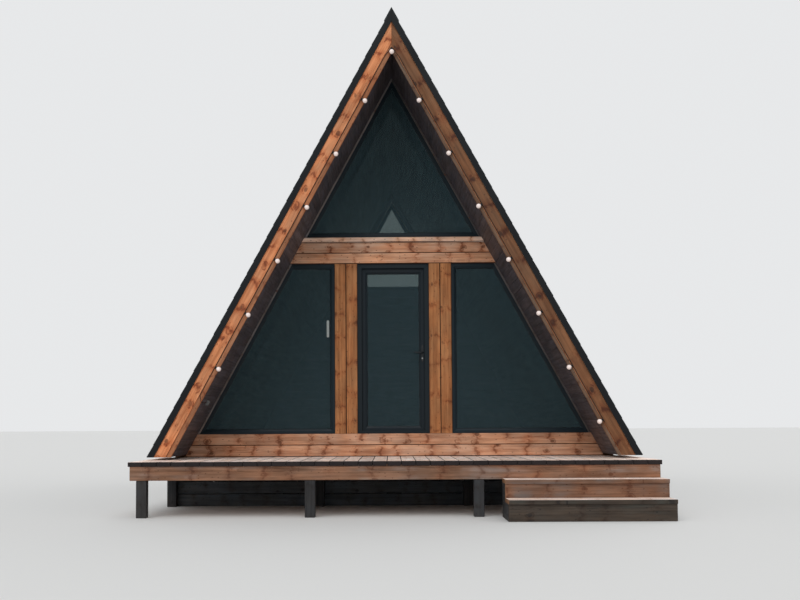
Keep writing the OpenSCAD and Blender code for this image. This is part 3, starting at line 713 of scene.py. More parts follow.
def rounded(width, height, radius, steps=4):
    """The outline of a plate with rounded corners, round its middle."""
    x, z = width / 2 - radius, height / 2 - radius
    points = []
    for cx, cz, start in ((x, z, 0), (-x, z, 90), (-x, -z, 180), (x, -z, 270)):
        for k in range(steps + 1):
            a = math.radians(start + 90 * k / steps)
            points.append((cx + radius * math.cos(a), cz + radius * math.sin(a)))
    return points


def board_screw(part, x, y, z, socket):
    """A screw from z up, its head's socket at a height above that."""
    rim = socket + 0.0004
    profile = [(0.0042, 0), (0.0042, rim), (0.0030, socket + 0.0008), (0.0016, socket), (0, socket)]
    part.lathe(profile, (x, y, z), Z, "screw", 8)


# Foundation

sill_out = hw(FOOT_Z, RAFTER_OUT)
skirt_in = SKIRT_T + SEAT
piers = Part("timber_piers", 1)


def upright(x, y, width, top, bevel=0.006):
    half = width / 2
    piers.box((x - half, y - half, 0), (x + half, y + half, top), "dark", Z, Y, bevel=bevel)


for side in (-1, -1 / 3, 1 / 3, 1):
    for y in (RIM_Y + 0.06, WALL_Y - 0.06):
        upright(side * (DECK_HALF - 0.139), y, DECK_POST, JOIST_Z, 0.005)
for side in (-1, 0, 1):
    for y in (ROOM_Y[0] + PIER, MIDDLE_Y, ROOM_Y[1] - PIER):
        upright(side * BEARER_X, y, PIER, BEARER_Z)
        if side:
            upright(side * (sill_out - skirt_in - PIER / 2), y, PIER, SIDE_SILL_Z)
for side in SIDES:
    for y in (WALL_Y + skirt_in + PIER / 2, REAR_OUT_Y - skirt_in - PIER / 2):
        upright(side * BEARER_X / 2, y, PIER, DECK_Z)
piers.make("dark_timber", "piers")

bearers = Part("floor_bearer_beams", 2)
y0, y1, lap = WALL_Y + skirt_in, REAR_OUT_Y - skirt_in, DECK_Z - SEAT
outline = [(y0, SIDE_SILL_Z), (y0, lap), (ROOM_Y[0], lap), (ROOM_Y[0], FOOT_Z),
           (ROOM_Y[1], FOOT_Z), (ROOM_Y[1], lap), (y1, lap), (y1, SIDE_SILL_Z)]
for side in SIDES:
    bearers.along_x(outline, *mirrored(side, sill_out, sill_out - 0.24), "side_sill", Y, Z, bevel=0.004)
for x in (-BEARER_X, 0, BEARER_X):
    bearers.box((x - 0.075, ROOM_Y[0], BEARER_Z), (x + 0.075, ROOM_Y[1], FOOT_Z), "raw", Y, bevel=0.004)
bearers.make("raw_timber", "floor_bearers")

# Skirt boards close the underside; their dark bluish tone partly stands in for the shade under the cabin and
# the deck: painted shade.
skirts = Part("skirt_planks", 3)
for z0, z1 in spans(0.0, DECK_Z, 4, 0.006):
    for y in (WALL_Y, REAR_OUT_Y - SKIRT_T):
        skirts.box((-sill_out, y, z0), (sill_out, y + SKIRT_T, z1), "skirt", X, Y, bevel=0.003)
for z0, z1 in spans(0.0, SIDE_SILL_Z, 3, 0.006):
    for side in SIDES:
        x0, x1 = mirrored(side, sill_out, sill_out - SKIRT_T)
        skirts.box((x0, y0, z0), (x1, y1, z1), "skirt", Y, X, bevel=0.003)
skirts.make("dark_timber", "skirt_boards")

# Floor boards on top, raw planks under them that reach to the slopes at both ends

floor = Part("floor_planks", 4)
under_z = FLOOR_Z - 0.028
for key, z, far_z, count, gap, bevel in (("floor", FLOOR_Z, under_z, 38, 0.0015, 0.0012),
                                         ("raw", FOOT_Z, under_z - 0.0005, 12, 0.002, 0.003)):
    edge, far_edge = hw(z, -SEAT), hw(under_z, -SEAT)
    for i, (x0, x1) in enumerate(spans(-edge, edge, count, gap)):
        far0 = -far_edge if i == 0 else x0
        far1 = far_edge if i == count - 1 else x1
        (low, a0, a1), (high, b0, b1) = sorted(((z, x0, x1), (far_z, far0, far1)))
        floor.along_y([(a0, low), (a1, low), (b1, high), (b0, high)], *ROOM_Y, key, bevel=bevel)
floor.make("raw_timber", "cabin_floor")

# Deck

joist_ys = [RIM_Y + i * (WALL_Y - RIM_Y - JOIST_T) / 3 for i in range(4)]
joists = Part("deck_joist_beams", 5)
for y in joist_ys[1:]:
    joists.box((JOIST_T - RIM_X, y, JOIST_Z), (RIM_X - JOIST_T, y + JOIST_T, JOIST_TOP), "raw", X, Y,
               bevel=0.003)
joists.make("raw_timber", "deck_joists")

rim = Part("deck_rim_beam", 6)
rim.box((-RIM_X, RIM_Y, JOIST_Z), (RIM_X, RIM_Y + JOIST_T, JOIST_TOP), "rim", X, Y, bevel=0.004)
rim.make("stained_timber", "deck_rim_front")

rims = Part("deck_side_beams", 7)
for side in SIDES:
    x0, x1 = mirrored(side, RIM_X, RIM_X - JOIST_T)
    rims.box((x0, RIM_Y + JOIST_T, JOIST_Z), (x1, WALL_Y, JOIST_TOP), "rim", Y, X, bevel=0.004)
rims.make("stained_timber", "deck_rim_sides")

deck = Part("deck_boards", 8)
screws = Part("deck_screws", 9)
for x0, x1 in spans(-DECK_HALF, DECK_HALF, 37, 0.005):
    front = DECK_FRONT_Y + deck.rng.uniform(0, 0.003)
    top = DECK_Z - deck.rng.uniform(0, 0.0015)
    # The boards' sides take the dark end-grain colour: painted shade in the gaps between boards.
    deck.box((x0, front, JOIST_TOP), (x1, WALL_Y, top), "deck", Y,
             end_key="deck_end_and_gap_shade", side_key="deck_end_and_gap_shade")
    for y in joist_ys:
        for x in (x0 + 0.03, x1 - 0.03):
            at_x = x + screws.rng.uniform(-0.004, 0.004)
            at_y = y + JOIST_T / 2 + screws.rng.uniform(-0.006, 0.006)
            board_screw(screws, at_x, at_y, DECK_Z - 0.004, 0.0030)
deck.make("deck_timber", "deck_floor")
screws.make("steel")

# Steps

treads = Part("tread_planks", 10)
# The lower tread's front and sides take the lower riser's darker timber: painted shade.
for i, side_key in ((1, "riser"), (2, "low_riser")):
    for p in (0, 1):
        y = RIM_Y - i * GOING - NOSING + p * (TREAD_W + TREAD_GAP)
        z = DECK_Z - i * RISE
        treads.box((STEPS_X, y, z - TREAD_T), (DECK_HALF, y + TREAD_W, z), "deck",
                   bevel=0.003, side_key=side_key)
        for x in (STEPS_X + STEP_BOARD / 2, (STEPS_X + DECK_HALF) / 2, DECK_HALF - STEP_BOARD / 2):
            for inner in (0.035, TREAD_W - 0.035):
                board_screw(treads, x, y + inner, z - 0.0032, 0.0028)
treads.make("deck_timber", "step_treads")

upper_step, lower_step = DECK_Z - RISE - TREAD_T, DECK_Z - 2 * RISE - TREAD_T
risers = Part("riser_boards", 11)
# The lower riser takes the darker timber: painted shade.
for y, z0, z1, key in ((RIM_Y - GOING, lower_step, upper_step, "riser"),
                       (RIM_Y - 2 * GOING, 0, lower_step, "low_riser")):
    risers.box((STEPS_X, y, z0), (DECK_HALF, y + STEP_BOARD, z1), key, X, Y, bevel=0.003)
risers.make("stained_timber", "step_risers")

sides = Part("step_stringers", 12)
back, mid, front = RIM_Y, RIM_Y - GOING + STEP_BOARD, RIM_Y - 2 * GOING + STEP_BOARD
for x in (STEPS_X, (STEPS_X + DECK_HALF - STEP_BOARD) / 2, DECK_HALF - STEP_BOARD):
    for outline in ([(back, 0), (back, upper_step), (mid, upper_step), (mid, lower_step)],
                    [(front, 0), (back, 0), (mid, lower_step), (front, lower_step)]):
        sides.along_x(outline, x, x + STEP_BOARD, "dark", Y, X)
sides.make("dark_timber", "step_sides")

# Wall beams and posts


def beam_profile(z, height):
    """A squared timber with a chamfer on its lower front edge and a smaller one on its upper."""
    y, back, top = WALL_Y, WALL_Y + WALL_T, z + height
    low, high = 0.010, 0.004
    return [(y + low, z), (back, z), (back, top), (y + high, top), (y, top - high), (y, z + low)]


for seed, name, z, height, key in ((20, "sill_beam_lower", DECK_Z, SILL_H, "sill"),
                                   (21, "sill_beam_upper", DECK_Z + SILL_H, SILL_H, "sill"),
                                   (22, "transom_beam_lower", HEAD_Z, TRANSOM_H, "low_beam"),
                                   (23, "transom_beam_upper", HEAD_Z + TRANSOM_H, TRANSOM_H, "beam")):
    beam = Part(name.replace("_beam", "_timber"), seed)
    # Faces that look down take the dark joint timber: painted shade under each beam.
    beam.band(beam_profile(z, height), key, bevel=0.0015, side_key=("joint", key))
    beam.make("stained_timber", name)

ledge = Part("ledge_board", 24)
nose_y, back_y, lip_z = WALL_Y - 0.025, WALL_Y + WALL_T, LEDGE_Z + 0.010
# The faces under the ledge and its lip take the dark joint timber: painted shade.
ledge.band([(WALL_Y, LEDGE_Z), (back_y, LEDGE_Z), (back_y, UPPER_Z), (FRAME_Y, UPPER_Z),
            (nose_y, UPPER_Z - 0.006), (nose_y, lip_z), (WALL_Y, lip_z)],
           "ledge", side_key=("joint", "ledge"))
ledge.make("stained_timber", "transom_ledge")

posts = Part("door_post_timbers", 25)
section = [(0, ARRIS), (0, WALL_T), (POST_W, WALL_T), (POST_W, ARRIS), (POST_W - ARRIS, 0), (ARRIS, 0)]
for side in SIDES:
    for i in (0, 1):
        x = side * (DOORWAY + POST_W / 2 + i * (POST_W + POST_JOINT)) - POST_W / 2
        # Where the two posts meet, the faces take the dark joint timber: a dark joint with painted shade.
        faces = ("joint", "post") if (side > 0) == (i == 0) else ("post", "joint")
        posts.along_z([(x + a, WALL_Y + b) for a, b in section], SILL_Z, HEAD_Z, "post", bevel=0.0015,
                      side_key=faces, tone=0.5)
posts.make("stained_timber", "door_posts")

# Windows


def gable(z, off):
    return [(-hw(z, off), z), (hw(z, off), z), (0, peak(off))]


def bay(side):
    slope = [(hw(z, -SEAT), z) for z in (SILL_Z, HEAD_Z)]
    return [(side * x, z) for x, z in [(WINDOW_X, SILL_Z), *slope, (WINDOW_X, HEAD_Z)]]


def profile(edge, y, points, way=1):
    """Insets past a member's edge, which is one for all members or one for each, and places in Y."""
    if isinstance(edge, tuple):
        return [(tuple(width + dist for width in edge), y + way * depth) for dist, depth in points]
    return [(edge + dist, y + way * depth) for dist, depth in points]


def glazed(part, outline, key, edge, y, member, seal, spacer, way=1):
    """A frame grooved for its pane, with the seal in front of the pane and the spacer bar inside it."""
    back = (0, y + way * member[-1][1])
    part.frame(outline, [(0, y)] + profile(edge, y, member, way) + [back], key, SEAT, 0.0012)
    part.frame(outline, profile(edge, y, seal, way), "rubber")
    part.frame(outline, profile(edge, y, spacer, way), "spacer", bevel=0)


# A flat face, a stepped bead, the groove for the pane and the inner face
WINDOW_MEMBER = ((-0.022, 0), (-0.0205, 0.005), (0, 0.011), (0, 0.0227), (-0.0123, 0.0227), (-0.0123, 0.0473),
                 (0, 0.0473), (0, 0.062), (-0.006, 0.070))
WINDOW_SEAL = ((-0.0020, 0.0185), (0.0022, 0.0188), (0.0055, 0.0215), (0.0055, 0.0227), (-0.0020, 0.0227))
WINDOW_SPACER = ((-0.008, 0.0275), (0.007, 0.0275), (0.007, 0.0425), (-0.008, 0.0425))

for seed, name, outline, y, way in (
        (30, "upper_window", gable(UPPER_Z, -SEAT), FRAME_Y, 1),
        (31, "left_window", bay(-1), FRAME_Y, 1),
        (32, "right_window", bay(1), FRAME_Y, 1),
        (33, "rear_window", gable(REAR_Z, -REAR_MARGIN - SEAT), REAR_OUT_Y - 0.03, -1)):
    window = Part(name + "_members", seed)
    # The window members take the lighter sash paint: painted light.
    glazed(window, outline, "sash", FRAME_W, y, WINDOW_MEMBER, WINDOW_SEAL, WINDOW_SPACER, way)
    window.make("frame_paint", name + "_frame")

strips = Part("window_cover_strips", 35)
in_off, out_off = -SEAT - 0.02, -SEAT
y0, y1 = FRAME_Y - 0.018, FRAME_Y
# The left strip's lighter timber is painted light.
for side, key in ((-1, "left_strip"), (1, "right_strip")):
    corners = ((SILL_Z, in_off), (SILL_Z, out_off), (HEAD_Z, out_off), (HEAD_Z, in_off))
    outline = [(side * hw(z, off), z) for z, off in corners]
    strips.along_y(outline, y0, y1, key, up_slope(side), Y, bevel=0.003)
    strips.rafter(side, UPPER_Z, in_off, out_off, y0, y1, key, ridge_gap=0.0002, bevel=0.003)
strips.make("dark_timber", "cover_strips")

for name in ("upper_window", "left_window", "right_window", "rear_window", "door"):
    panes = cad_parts[name + "_glass"].data.materials
    panes.clear()
    panes.append(M["rear_glass" if name == "rear_window" else "glass"])

# Door; the rows of widths are those of the foot, the right side, the head and the left side

LIP = (0.035, 0.060, 0.057, 0.060)
REBATE = (0.020, 0.042, 0.042, 0.042)
LEAF_EDGE = (0.060, 0.070, 0.072, 0.070)
LEAF_X, LEAF_Z0, LEAF_Z1 = 0.395, 0.905, 2.938
LEAF_Y0, LEAF_Y1 = WALL_Y + 0.062, WALL_Y + 0.118

door_frame = Part("door_frame_members", 40)
outline = [(-DOORWAY, SILL_Z), (DOORWAY, SILL_Z), (DOORWAY, HEAD_Z), (-DOORWAY, HEAD_Z)]
front_face = profile(LIP, FRAME_Y, ((-0.004, 0), (0, 0.004), (0, 0.027)))
stop = profile(REBATE, FRAME_Y, ((0, 0.027), (0, 0.088)))
door_frame.frame(outline, [(0, FRAME_Y)] + front_face + stop + [(0, FRAME_Y + 0.088)], "frame", SEAT, 0.0012)
seal = ((-0.008, 0.027), (-0.001, 0.027), (-0.001, 0.0305), (-0.008, 0.0295))
door_frame.frame(outline, profile(LIP, FRAME_Y, seal), "rubber")
door_frame.make("frame_paint", "door_frame")

leaf = Part("door_leaf_members", 41)
outline = [(-LEAF_X, LEAF_Z0), (LEAF_X, LEAF_Z0), (LEAF_X, LEAF_Z1), (-LEAF_X, LEAF_Z1)]
glazed(leaf, outline, "leaf", LEAF_EDGE, LEAF_Y0,
       ((-0.018, 0), (-0.0165, 0.004), (0, 0.009), (0, 0.0157), (-0.012, 0.0157), (-0.012, 0.0403),
        (0, 0.0403), (0, 0.050), (-0.005, 0.056)),
       ((-0.002, 0.012), (0.0045, 0.0146), (0.0045, 0.0157), (-0.002, 0.0157)),
       ((-0.008, 0.021), (0.007, 0.021), (0.007, 0.035), (-0.008, 0.035)))

HINGE_ZS = (1.105, 1.9215, 2.738)
PIN_X, PIN_Y = -0.400, WALL_Y + 0.128
PLATE_T, BARREL = 0.003, 0.05
hinges = Part("hinge_barrels", 42)
knuckles = [(0.0, -BARREL), (0.0045, -BARREL), (0.0065, -0.0485)]
for k in range(5):
    z = -0.0475 + k * 0.019
    knuckles += [(0.0080, z), (0.0080, z + 0.0178), (0.0070, z + 0.0182), (0.0070, z + 0.0188)]
knuckles += [(0.0065, 0.0485), (0.0045, BARREL), (0.0, BARREL)]
face_y = LEAF_Y1 + PLATE_T
for z in HINGE_ZS:
    hinges.lathe(knuckles, (PIN_X, PIN_Y, z), Z, "steel", 20)
    for part, x0, x1 in ((hinges, PIN_X - 0.017, PIN_X), (leaf, PIN_X + 0.0052, PIN_X + 0.034)):
        part.box((x0, LEAF_Y1, z - BARREL), (x1, face_y, z + BARREL), "steel", Z, Y, bevel=0.0008)
    for dz in (-0.034, 0, 0.034):
        leaf.lathe([(0.0042, 0), (0.0036, 0.0008), (0.0012, 0.0004), (0, 0.0004)],
                   (PIN_X + 0.022, face_y, z + dz), Y, "screw", 12)
        hinges.lathe([(0.0034, 0), (0.0030, 0.0007), (0.0010, 0.0004), (0, 0.0004)],
                     (PIN_X - 0.0125, face_y, z + dz), Y, "screw", 12)
leaf.make("frame_paint", "door_leaf", body=DOOR)
hinges.make("steel", "door_hinges")

HANDLE_X, HANDLE_Z, PLATE_OUT = 0.36, 1.88, 0.008
LEVER_OUT, LEVER_BEND, LEVER_R = 0.034, 0.014, 0.0088
PLATE_Z = HANDLE_Z - 0.01
handle = Part("lever_handles", 43)
for way, y in ((-1, LEAF_Y0 - SEAT), (1, LEAF_Y1 + SEAT)):
    face_y = y + way * PLATE_OUT
    plate = [(HANDLE_X + a, PLATE_Z + b) for a, b in rounded(0.032, 0.2, 0.012)]
    handle.along_y(plate, *sorted((y, face_y)), "handle", Z, Y, segments=2)
    front, out = Vector((HANDLE_X, face_y, HANDLE_Z)), Vector((0, way, 0))
    handle.lathe([(0.0135, -0.001), (0.0135, 0.003), (0.0115, 0.006), (0.0095, 0.007)],
                 front, out, "handle", 24)
    path = [(far, 0) for far in (0.004, 0.012, LEVER_OUT - LEVER_BEND)]
    for a in (math.radians(15 * k) for k in range(1, 7)):
        path.append((LEVER_OUT - LEVER_BEND + LEVER_BEND * math.sin(a), LEVER_BEND * (1 - math.cos(a))))
    path += [(LEVER_OUT, far) for far in (0.03, 0.06, 0.09, 0.100, 0.104, 0.106)]
    radii = [LEVER_R] * (len(path) - 3) + [0.0084, 0.0066, 0.0035]
    handle.tube([front + out * far + Vector((-left, 0, 0)) for far, left in path], radii, "handle", 16)
    for dz in (-0.088, 0.088):
        handle.lathe([(0.0042, -0.0005), (0.0038, 0.0007), (0.0014, 0.0002), (0, 0.0002)],
                     (HANDLE_X, face_y, PLATE_Z + dz), out, "screw", 12)
    keyhole = Vector((HANDLE_X, face_y, PLATE_Z - 0.062))
    handle.lathe([(0.0085, -0.001), (0.0085, 0.0008), (0.0078, 0.0014), (0, 0.0014)],
                 keyhole, out, "steel", 20)
    y0, y1 = sorted((keyhole.y, keyhole.y + way * 0.0017))
    handle.box((keyhole.x - 0.001, y0, keyhole.z - 0.006), (keyhole.x + 0.001, y1, keyhole.z + 0.006),
               "rubber", Z, Y, bevel=0)
handle.make("frame_paint", "door_handle", body=DOOR)

# Roof


def run_at_foot(off):
    """The run at which an offset plane meets the level foot."""
    return -off * COS / SIN


def run_at_ridge(off):
    """The run at which an offset plane meets the ridge's upright plane."""
    return (peak(off) - FOOT_Z - off * COS) / SIN


RAFTER_T, RAFTER_GAPS = 0.05, 13
ROOF_BOARD_OUT = COVER_OUT - 0.008
EDGE_T = 0.0015
SHINGLE_ROWS, TAB, TAB_GAP, TAB_LAP = 37, 0.333, 0.005, 0.012

for side, hand, seed in ((-1, "left", 50), (1, "right", 60)):
    lining = Part("lining_boards_" + hand, seed)
    for run0, run1 in spans(run_at_foot(LINING_T), run_at_ridge(LINING_T), 46, 0.0012):
        lining.purlin(side, run0, run1, 0, LINING_T, *ROOF_Y, "lining", bevel=0.0022)
    lining.make("dark_timber", "lining_" + hand)

    rafters = Part("rafter_beams_" + hand, seed + 1)
    step = (ROOF_Y[1] - ROOF_Y[0] - RAFTER_T) / RAFTER_GAPS
    for i in range(RAFTER_GAPS + 1):
        y = ROOF_Y[0] + i * step
        key = "dark" if i in (0, RAFTER_GAPS) else "raw"
        rafters.rafter(side, FOOT_Z, RAFTER_IN, RAFTER_OUT, y, y + RAFTER_T, key, bevel=0.003, end_key="end")
    rafters.make("raw_timber", "rafters_" + hand)

    barge = Part("barge_boards_" + hand, seed + 2)
    groove_in, groove_out = TRIM_GROOVE[hand]
    for y in (BARGE_Y, REAR_BARGE_Y):
        back = y + 0.009 if y < 0 else y + BARGE_T - 0.015
        # On the right side the barge board's timber carries painted shade.
        barge.rafter(side, FOOT_Z, groove_out, RAFTER_OUT, y, y + BARGE_T, "barge_" + hand, bevel=0.003)
        # On the right side the trim's timber carries painted shade.
        barge.rafter(side, FOOT_Z, TRIM_IN, groove_in, y, y + BARGE_T, "trim_" + hand, bevel=0.003)
        barge.rafter(side, FOOT_Z, groove_in + 0.0002, groove_out - 0.0002, back, back + 0.006,
                     "groove", bevel=0)
    barge.make("stained_timber", "barge_" + hand)

    # Roof boards with a thin edge strip at the front and rear ends, then the courses of shingles
    roof = Part("roof_shingles_" + hand, seed + 3)
    low_run, high_run = run_at_foot(ROOF_BOARD_OUT), run_at_ridge(ROOF_BOARD_OUT)
    for run0, run1 in spans(low_run, high_run, 36, 0.002):
        roof.purlin(side, run0 + 0.0005, run1, COVER_IN + 0.0005, ROOF_BOARD_OUT - 0.0005,
                    VERGE_Y[0] + EDGE_T, VERGE_Y[1] - EDGE_T, "raw")
    for y in (VERGE_Y[0], VERGE_Y[1] - EDGE_T):
        roof.rafter(side, FOOT_Z, COVER_IN, ROOF_BOARD_OUT, y, y + EDGE_T, "edge", bevel=0)
    exposure = (run_at_ridge(COVER_OUT) - low_run - 0.01) / SHINGLE_ROWS
    for row in range(SHINGLE_ROWS):
        run = low_run + row * exposure
        head = min(run + exposure + TAB_LAP, run_at_ridge(ROOF_BOARD_OUT + 0.002))
        y = VERGE_Y[0] - (row % 2) * TAB / 2 - roof.rng.uniform(0, 0.02)
        while y < VERGE_Y[1]:
            y0, y1 = max(y, VERGE_Y[0]), min(y + TAB - TAB_GAP, VERGE_Y[1])
            y += TAB
            if y1 - y0 < 0.03:
                continue
            foot = run + roof.rng.uniform(-0.002, 0.002) + (0.002 if row == 0 else 0)
            top = COVER_OUT - roof.rng.uniform(0, 0.0012)
            points = ((foot, ROOF_BOARD_OUT), (foot, top),
                      (head, ROOF_BOARD_OUT + 0.0016), (head, ROOF_BOARD_OUT))
            outline = [(x, max(z, FOOT_Z)) for x, z in (on_slope(side, *point) for point in points)]
            roof.along_y(outline, y0, y1, "shingle", up_slope(side), out_slope(side), bevel=0, smooth=False)
    roof.make("roofing", "roof_covering_" + hand)

ridge = Part("ridge_shingles", 70)
under = COVER_OUT + SEAT
bottom = under + 0.0003
for y0, y1 in spans(*VERGE_Y, 38, 0.0):
    z = peak(under) - (0.17 - ridge.rng.uniform(0, 0.004)) * SIN
    loops = []
    for y, top in ((y0, under + 0.0058), (min(y1 + 0.03, VERGE_Y[1]), under + 0.0030)):
        points = ((-hw(z, bottom), z), (-hw(z, top), z), (0, peak(top)),
                  (hw(z, top), z), (hw(z, bottom), z), (0, peak(bottom)))
        loops.append([(x, y, height) for x, height in points])
    ridge.solid(*loops, "shingle", Y, Z, bevel=0, smooth=False)
ridge.make("roofing", "ridge_cap")

# Rear wall of stacked squared timbers, dark on the room side

CLAD_T = 0.0115
timber_y = REAR_IN_Y + 0.012
rear = Part("rear_wall_timbers", 71)


def block(y0, y1, z0, z1):
    return [(y0, z0), (y1, z0), (y1, z1), (y0, z1)]


for z0, z1 in spans(DECK_Z, REAR_Z, 20, 0.0):
    rear.band(block(timber_y, REAR_OUT_Y, z0, z1), "rear", bevel=0.006)
    rear.band(block(REAR_IN_Y, REAR_IN_Y + CLAD_T, z0 + 0.0005, z1 - 0.0005), "lining", bevel=0.003)
for y0, y1, key, cut in ((timber_y, REAR_OUT_Y, "rear", 0.006),
                         (REAR_IN_Y, REAR_IN_Y + CLAD_T, "lining", 0.003)):
    for side in SIDES:
        rear.rafter(side, REAR_Z, -REAR_MARGIN, -SEAT, y0, y1, key, bevel=cut, end_key="end")
rear.make("stained_timber", "rear_wall")

# String lights

BULB_R = 0.027
BULB_GAP = 0.7
TOP_BULB_Z = DECK_Z + 4.114
CABLE_R = 0.0035
CABLE_OFF = TRIM_OUT + 0.005
CABLE_Y = BARGE_Y - CABLE_R - SEAT
SOCKET_IN, SOCKET_OUT = -0.001, CABLE_OFF - CABLE_R - SEAT
SOCKET_Y = BARGE_Y - BULB_R - 0.001
BULB_OFF = SOCKET_IN - SEAT - BULB_R
APEX_SOCKET_Z = peak(BULB_OFF) - BULB_OFF


def lining_point(side, z, off, y):
    return Vector((side * (hw(z) + off * SIN), y, z + off * COS))


def bulb_z(i):
    return TOP_BULB_Z - i * BULB_GAP * SIN


places = [(Vector((0, SOCKET_Y, APEX_SOCKET_Z)), Vector(Z))]
for side, count in ((-1, 6), (1, 7)):
    places += [(lining_point(side, bulb_z(i), 0, SOCKET_Y), out_slope(side)) for i in range(count)]

turns = [math.radians(a) for a in range(10, 151, 10)]
globe = [(BULB_R * math.sin(a), -BULB_R * math.cos(a)) for a in turns]
globe = [(0, -BULB_R)] + globe + [(0.0125, 0.0245), (0.0120, 0.0268), (0, 0.0268)]
ribs = [(0, SOCKET_IN)]
for far in (SOCKET_IN + 0.005 * k for k in range(4)):
    ribs += [(0.0138, far), (0.0150, far + 0.0012), (0.0150, far + 0.0032), (0.0138, far + 0.0044)]
ribs += [(0.0110, SOCKET_OUT), (0, SOCKET_OUT)]

bulbs = Part("light_bulb_globes", 80)
sockets = Part("light_holders", 81)
for at, out in places:
    bulbs.lathe(globe, at + out * BULB_OFF, out, "bulb", 24)
    sockets.lathe(ribs, at, out, "rubber", 20)
    across = out.cross(Vector(Y)).normalized()
    corners = ((-0.007, 0), (0.007, 0), (0.007, SOCKET_OUT), (-0.007, SOCKET_OUT))
    arm = [at + across * a + out * b for a, b in corners]
    wall = [point + Vector((0, BARGE_Y - SEAT - SOCKET_Y, 0)) for point in arm]
    sockets.solid(arm, wall, "rubber", Y, out, bevel=0.001)
bulbs.make("bulb", "light_bulbs")

# The cable's box under the left soffit

BOX_Z, BOX_Y = DECK_Z + 0.663, WALL_Y - 0.54
corner = lining_point(-1, BOX_Z, -SEAT, BOX_Y)
out, up = out_slope(-1), up_slope(-1)


def box_point(a, b, depth):
    return corner - out * depth + up * a + Vector((0, b, 0))


for width, height, near, far, bevel, segments in ((0.060, 0.070, 0.0, 0.021, 0.0015, 1),
                                                  (0.058, 0.068, 0.0215, 0.0300, 0.002, 2)):
    loops = [[box_point(a, b, depth) for a, b in rounded(width, height, 0.006)] for depth in (near, far)]
    sockets.solid(*loops, "grey", up, out, bevel=bevel, segments=segments)
for a in (-0.023, 0.023):
    for b in (-0.028, 0.028):
        sockets.lathe([(0.0032, 0), (0.0028, 0.0003), (0, 0.0003)], box_point(a, b, 0.0297), -out,
                      "screw", 10)
sockets.make("black_rubber", "light_sockets")

# The cable: out of the box to the barge board, up the left slope, round the apex socket and down the right

cable_under = TRIM_IN - CABLE_R - SEAT
cable_top = APEX_SOCKET_Z + SOCKET_OUT + CABLE_R + SEAT
turn = 0.0105
route = [lining_point(-1, BOX_Z, -0.015, BOX_Y - 0.035 - 2 * SEAT),
         lining_point(-1, BOX_Z, cable_under, BARGE_Y + 2 * BARGE_T),
         lining_point(-1, BOX_Z, cable_under, CABLE_Y),
         lining_point(-1, BOX_Z + 0.06, CABLE_OFF, CABLE_Y),
         lining_point(-1, cable_top - 0.12, CABLE_OFF, CABLE_Y),
         Vector((-turn, CABLE_Y, cable_top)), Vector((turn, CABLE_Y, cable_top)),
         lining_point(1, cable_top - 0.12, CABLE_OFF, CABLE_Y),
         lining_point(1, bulb_z(6) - 0.03, CABLE_OFF, CABLE_Y)]


def eased(points, reach=0.02, steps=4):
    """The path with each bend rounded off."""
    made = [points[0]]
    for before, here, after in zip(points, points[1:], points[2:]):
        cut = min(reach, (here - before).length * 0.45, (after - here).length * 0.45)
        first = here + (before - here).normalized() * cut
        last = here + (after - here).normalized() * cut
        for t in (k / steps for k in range(steps + 1)):
            made.append(first * (1 - t) ** 2 + here * 2 * t * (1 - t) + last * t ** 2)
    return made + [points[-1]]


cable = Part("string_light_cable", 82)
path = eased(route)
cable.tube(path, [CABLE_R] * len(path), "cable", 10)
cable.make("black_rubber", "light_cable")

# Window thermometer with a scale of plain ticks

GAUGE_X, GAUGE_Y, GAUGE_Z = -WINDOW_X - 0.089, WALL_Y + 0.053 - SEAT, DECK_Z + 1.58
gauge = Part("thermometer", 83)
plate = [(GAUGE_X + a, GAUGE_Z + b) for a, b in rounded(0.030, 0.210, 0.010)]
gauge.along_y(plate, GAUGE_Y - 0.012, GAUGE_Y - 0.004, "white", Z, Y, bevel=0.0012, segments=2)
for dz in (-0.084, 0.084):
    gauge.lathe([(0, 0), (0.011, 0), (0.0095, -0.0018), (0.006, -0.0045), (0.006, -0.005), (0, -0.005)],
                (GAUGE_X, GAUGE_Y, GAUGE_Z + dz), Y, "white", 20)
for y, dz, radius, key, count in ((GAUGE_Y - 0.0125, 0.090, 0.0014, "white", 10),
                                  (GAUGE_Y - 0.0130, 0.020, 0.0009, "red", 8)):
    ends = [(GAUGE_X, y, GAUGE_Z - 0.082), (GAUGE_X, y, GAUGE_Z + dz)]
    gauge.tube(ends, [radius] * 2, key, count)
gauge.lathe([(0, -0.0015), (0.0035, -0.001), (0.0035, 0.0002), (0, 0.001)],
            (GAUGE_X, GAUGE_Y - 0.0126, GAUGE_Z - 0.086), Y, "red", 12)
for k in range(29):
    z = GAUGE_Z - 0.070 + k * 0.0057
    length = 0.0075 if k % 7 == 0 else 0.004
    for side in SIDES:
        x0, x1 = sorted((GAUGE_X + side * 0.0035, GAUGE_X + side * (0.0035 + length)))
        gauge.box((x0, GAUGE_Y - 0.0122, z - 0.0003), (x1, GAUGE_Y - 0.0119, z + 0.0003),
                  "rubber", X, Y, bevel=0)
gauge.make("white_plastic", "window_thermometer")

# Stage, light and camera

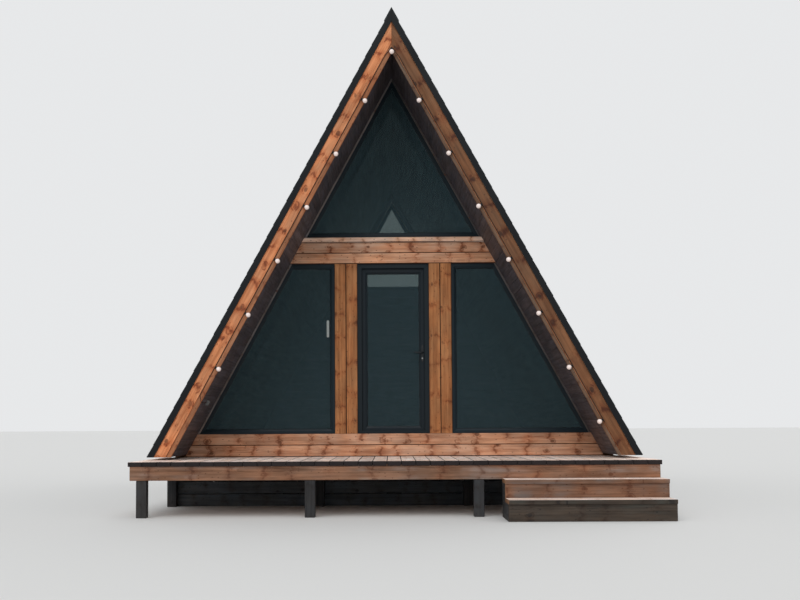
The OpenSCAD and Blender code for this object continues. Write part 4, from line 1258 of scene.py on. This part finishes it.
GROUND = 250.0
scene = bpy.context.scene
mesh = bpy.data.meshes.new("ground")
corners = [(-GROUND, -GROUND, 0), (GROUND, -GROUND, 0), (GROUND, GROUND, 0), (-GROUND, GROUND, 0)]
mesh.from_pydata(corners, [], [(0, 1, 2, 3)])
ground = bpy.data.objects.new("ground", mesh)
scene.collection.objects.link(ground)
g = material("ground_paint")
mesh.materials.append(g.finish(g.principled((0.72, 0.72, 0.71, 1.0), 0.9, Specular_IOR_Level=0.1)))

# The world lights the object softly, and shows a paler background to the camera and in gloss and glass
g = Graph(bpy.data.worlds.new("studio"), "ShaderNodeOutputWorld")
rays = g.node("ShaderNodeLightPath")
seen = g.term(rays, "Is Camera Ray")
for kind in ("Is Glossy Ray", "Is Transmission Ray"):
    seen = g.math("MAXIMUM", seen, g.term(rays, kind))
light, shown = (g.term(g.node("ShaderNodeBackground", {"Color": colour, "Strength": strength}))
                for colour, strength in (((0.97, 0.985, 1.0, 1.0), 0.62), ((0.80, 0.81, 0.82, 1.0), 1.0)))
scene.world = g.finish(g.mix_shaders(seen, light, shown))


def sun(name, energy, angle, azimuth, elevation):
    """A soft lamp; azimuth counts from behind the camera towards the left."""
    data = bpy.data.lights.new(name, "SUN")
    data.energy = energy
    data.angle = math.radians(angle)
    lamp = bpy.data.objects.new(name, data)
    a, e = math.radians(azimuth), math.radians(elevation)
    towards = Vector((math.sin(a) * math.cos(e), math.cos(a) * math.cos(e), -math.sin(e)))
    lamp.rotation_euler = towards.to_track_quat("-Z", "Y").to_euler()
    scene.collection.objects.link(lamp)


sun("key", 1.2, 50, 14, 42)
sun("fill", 0.5, 60, -150, 40)

camera_data = bpy.data.cameras.new("camera")
camera_data.sensor_width = SENSOR
camera_data.lens = LENS
camera_data.shift_x, camera_data.shift_y = SHIFT
camera_data.clip_end = 1000.0
camera = bpy.data.objects.new("camera", camera_data)
camera.location = CAMERA_AT
turns = ((CAMERA_YAW, "Z"), (math.pi / 2 + CAMERA_PITCH, "X"), (CAMERA_ROLL, "Z"))
yaw, pitch, roll = (Matrix.Rotation(angle, 3, axis) for angle, axis in turns)
camera.rotation_euler = (yaw @ pitch @ roll).to_euler()
scene.collection.objects.link(camera)
scene.camera = camera
scene.view_settings.view_transform = "Standard"
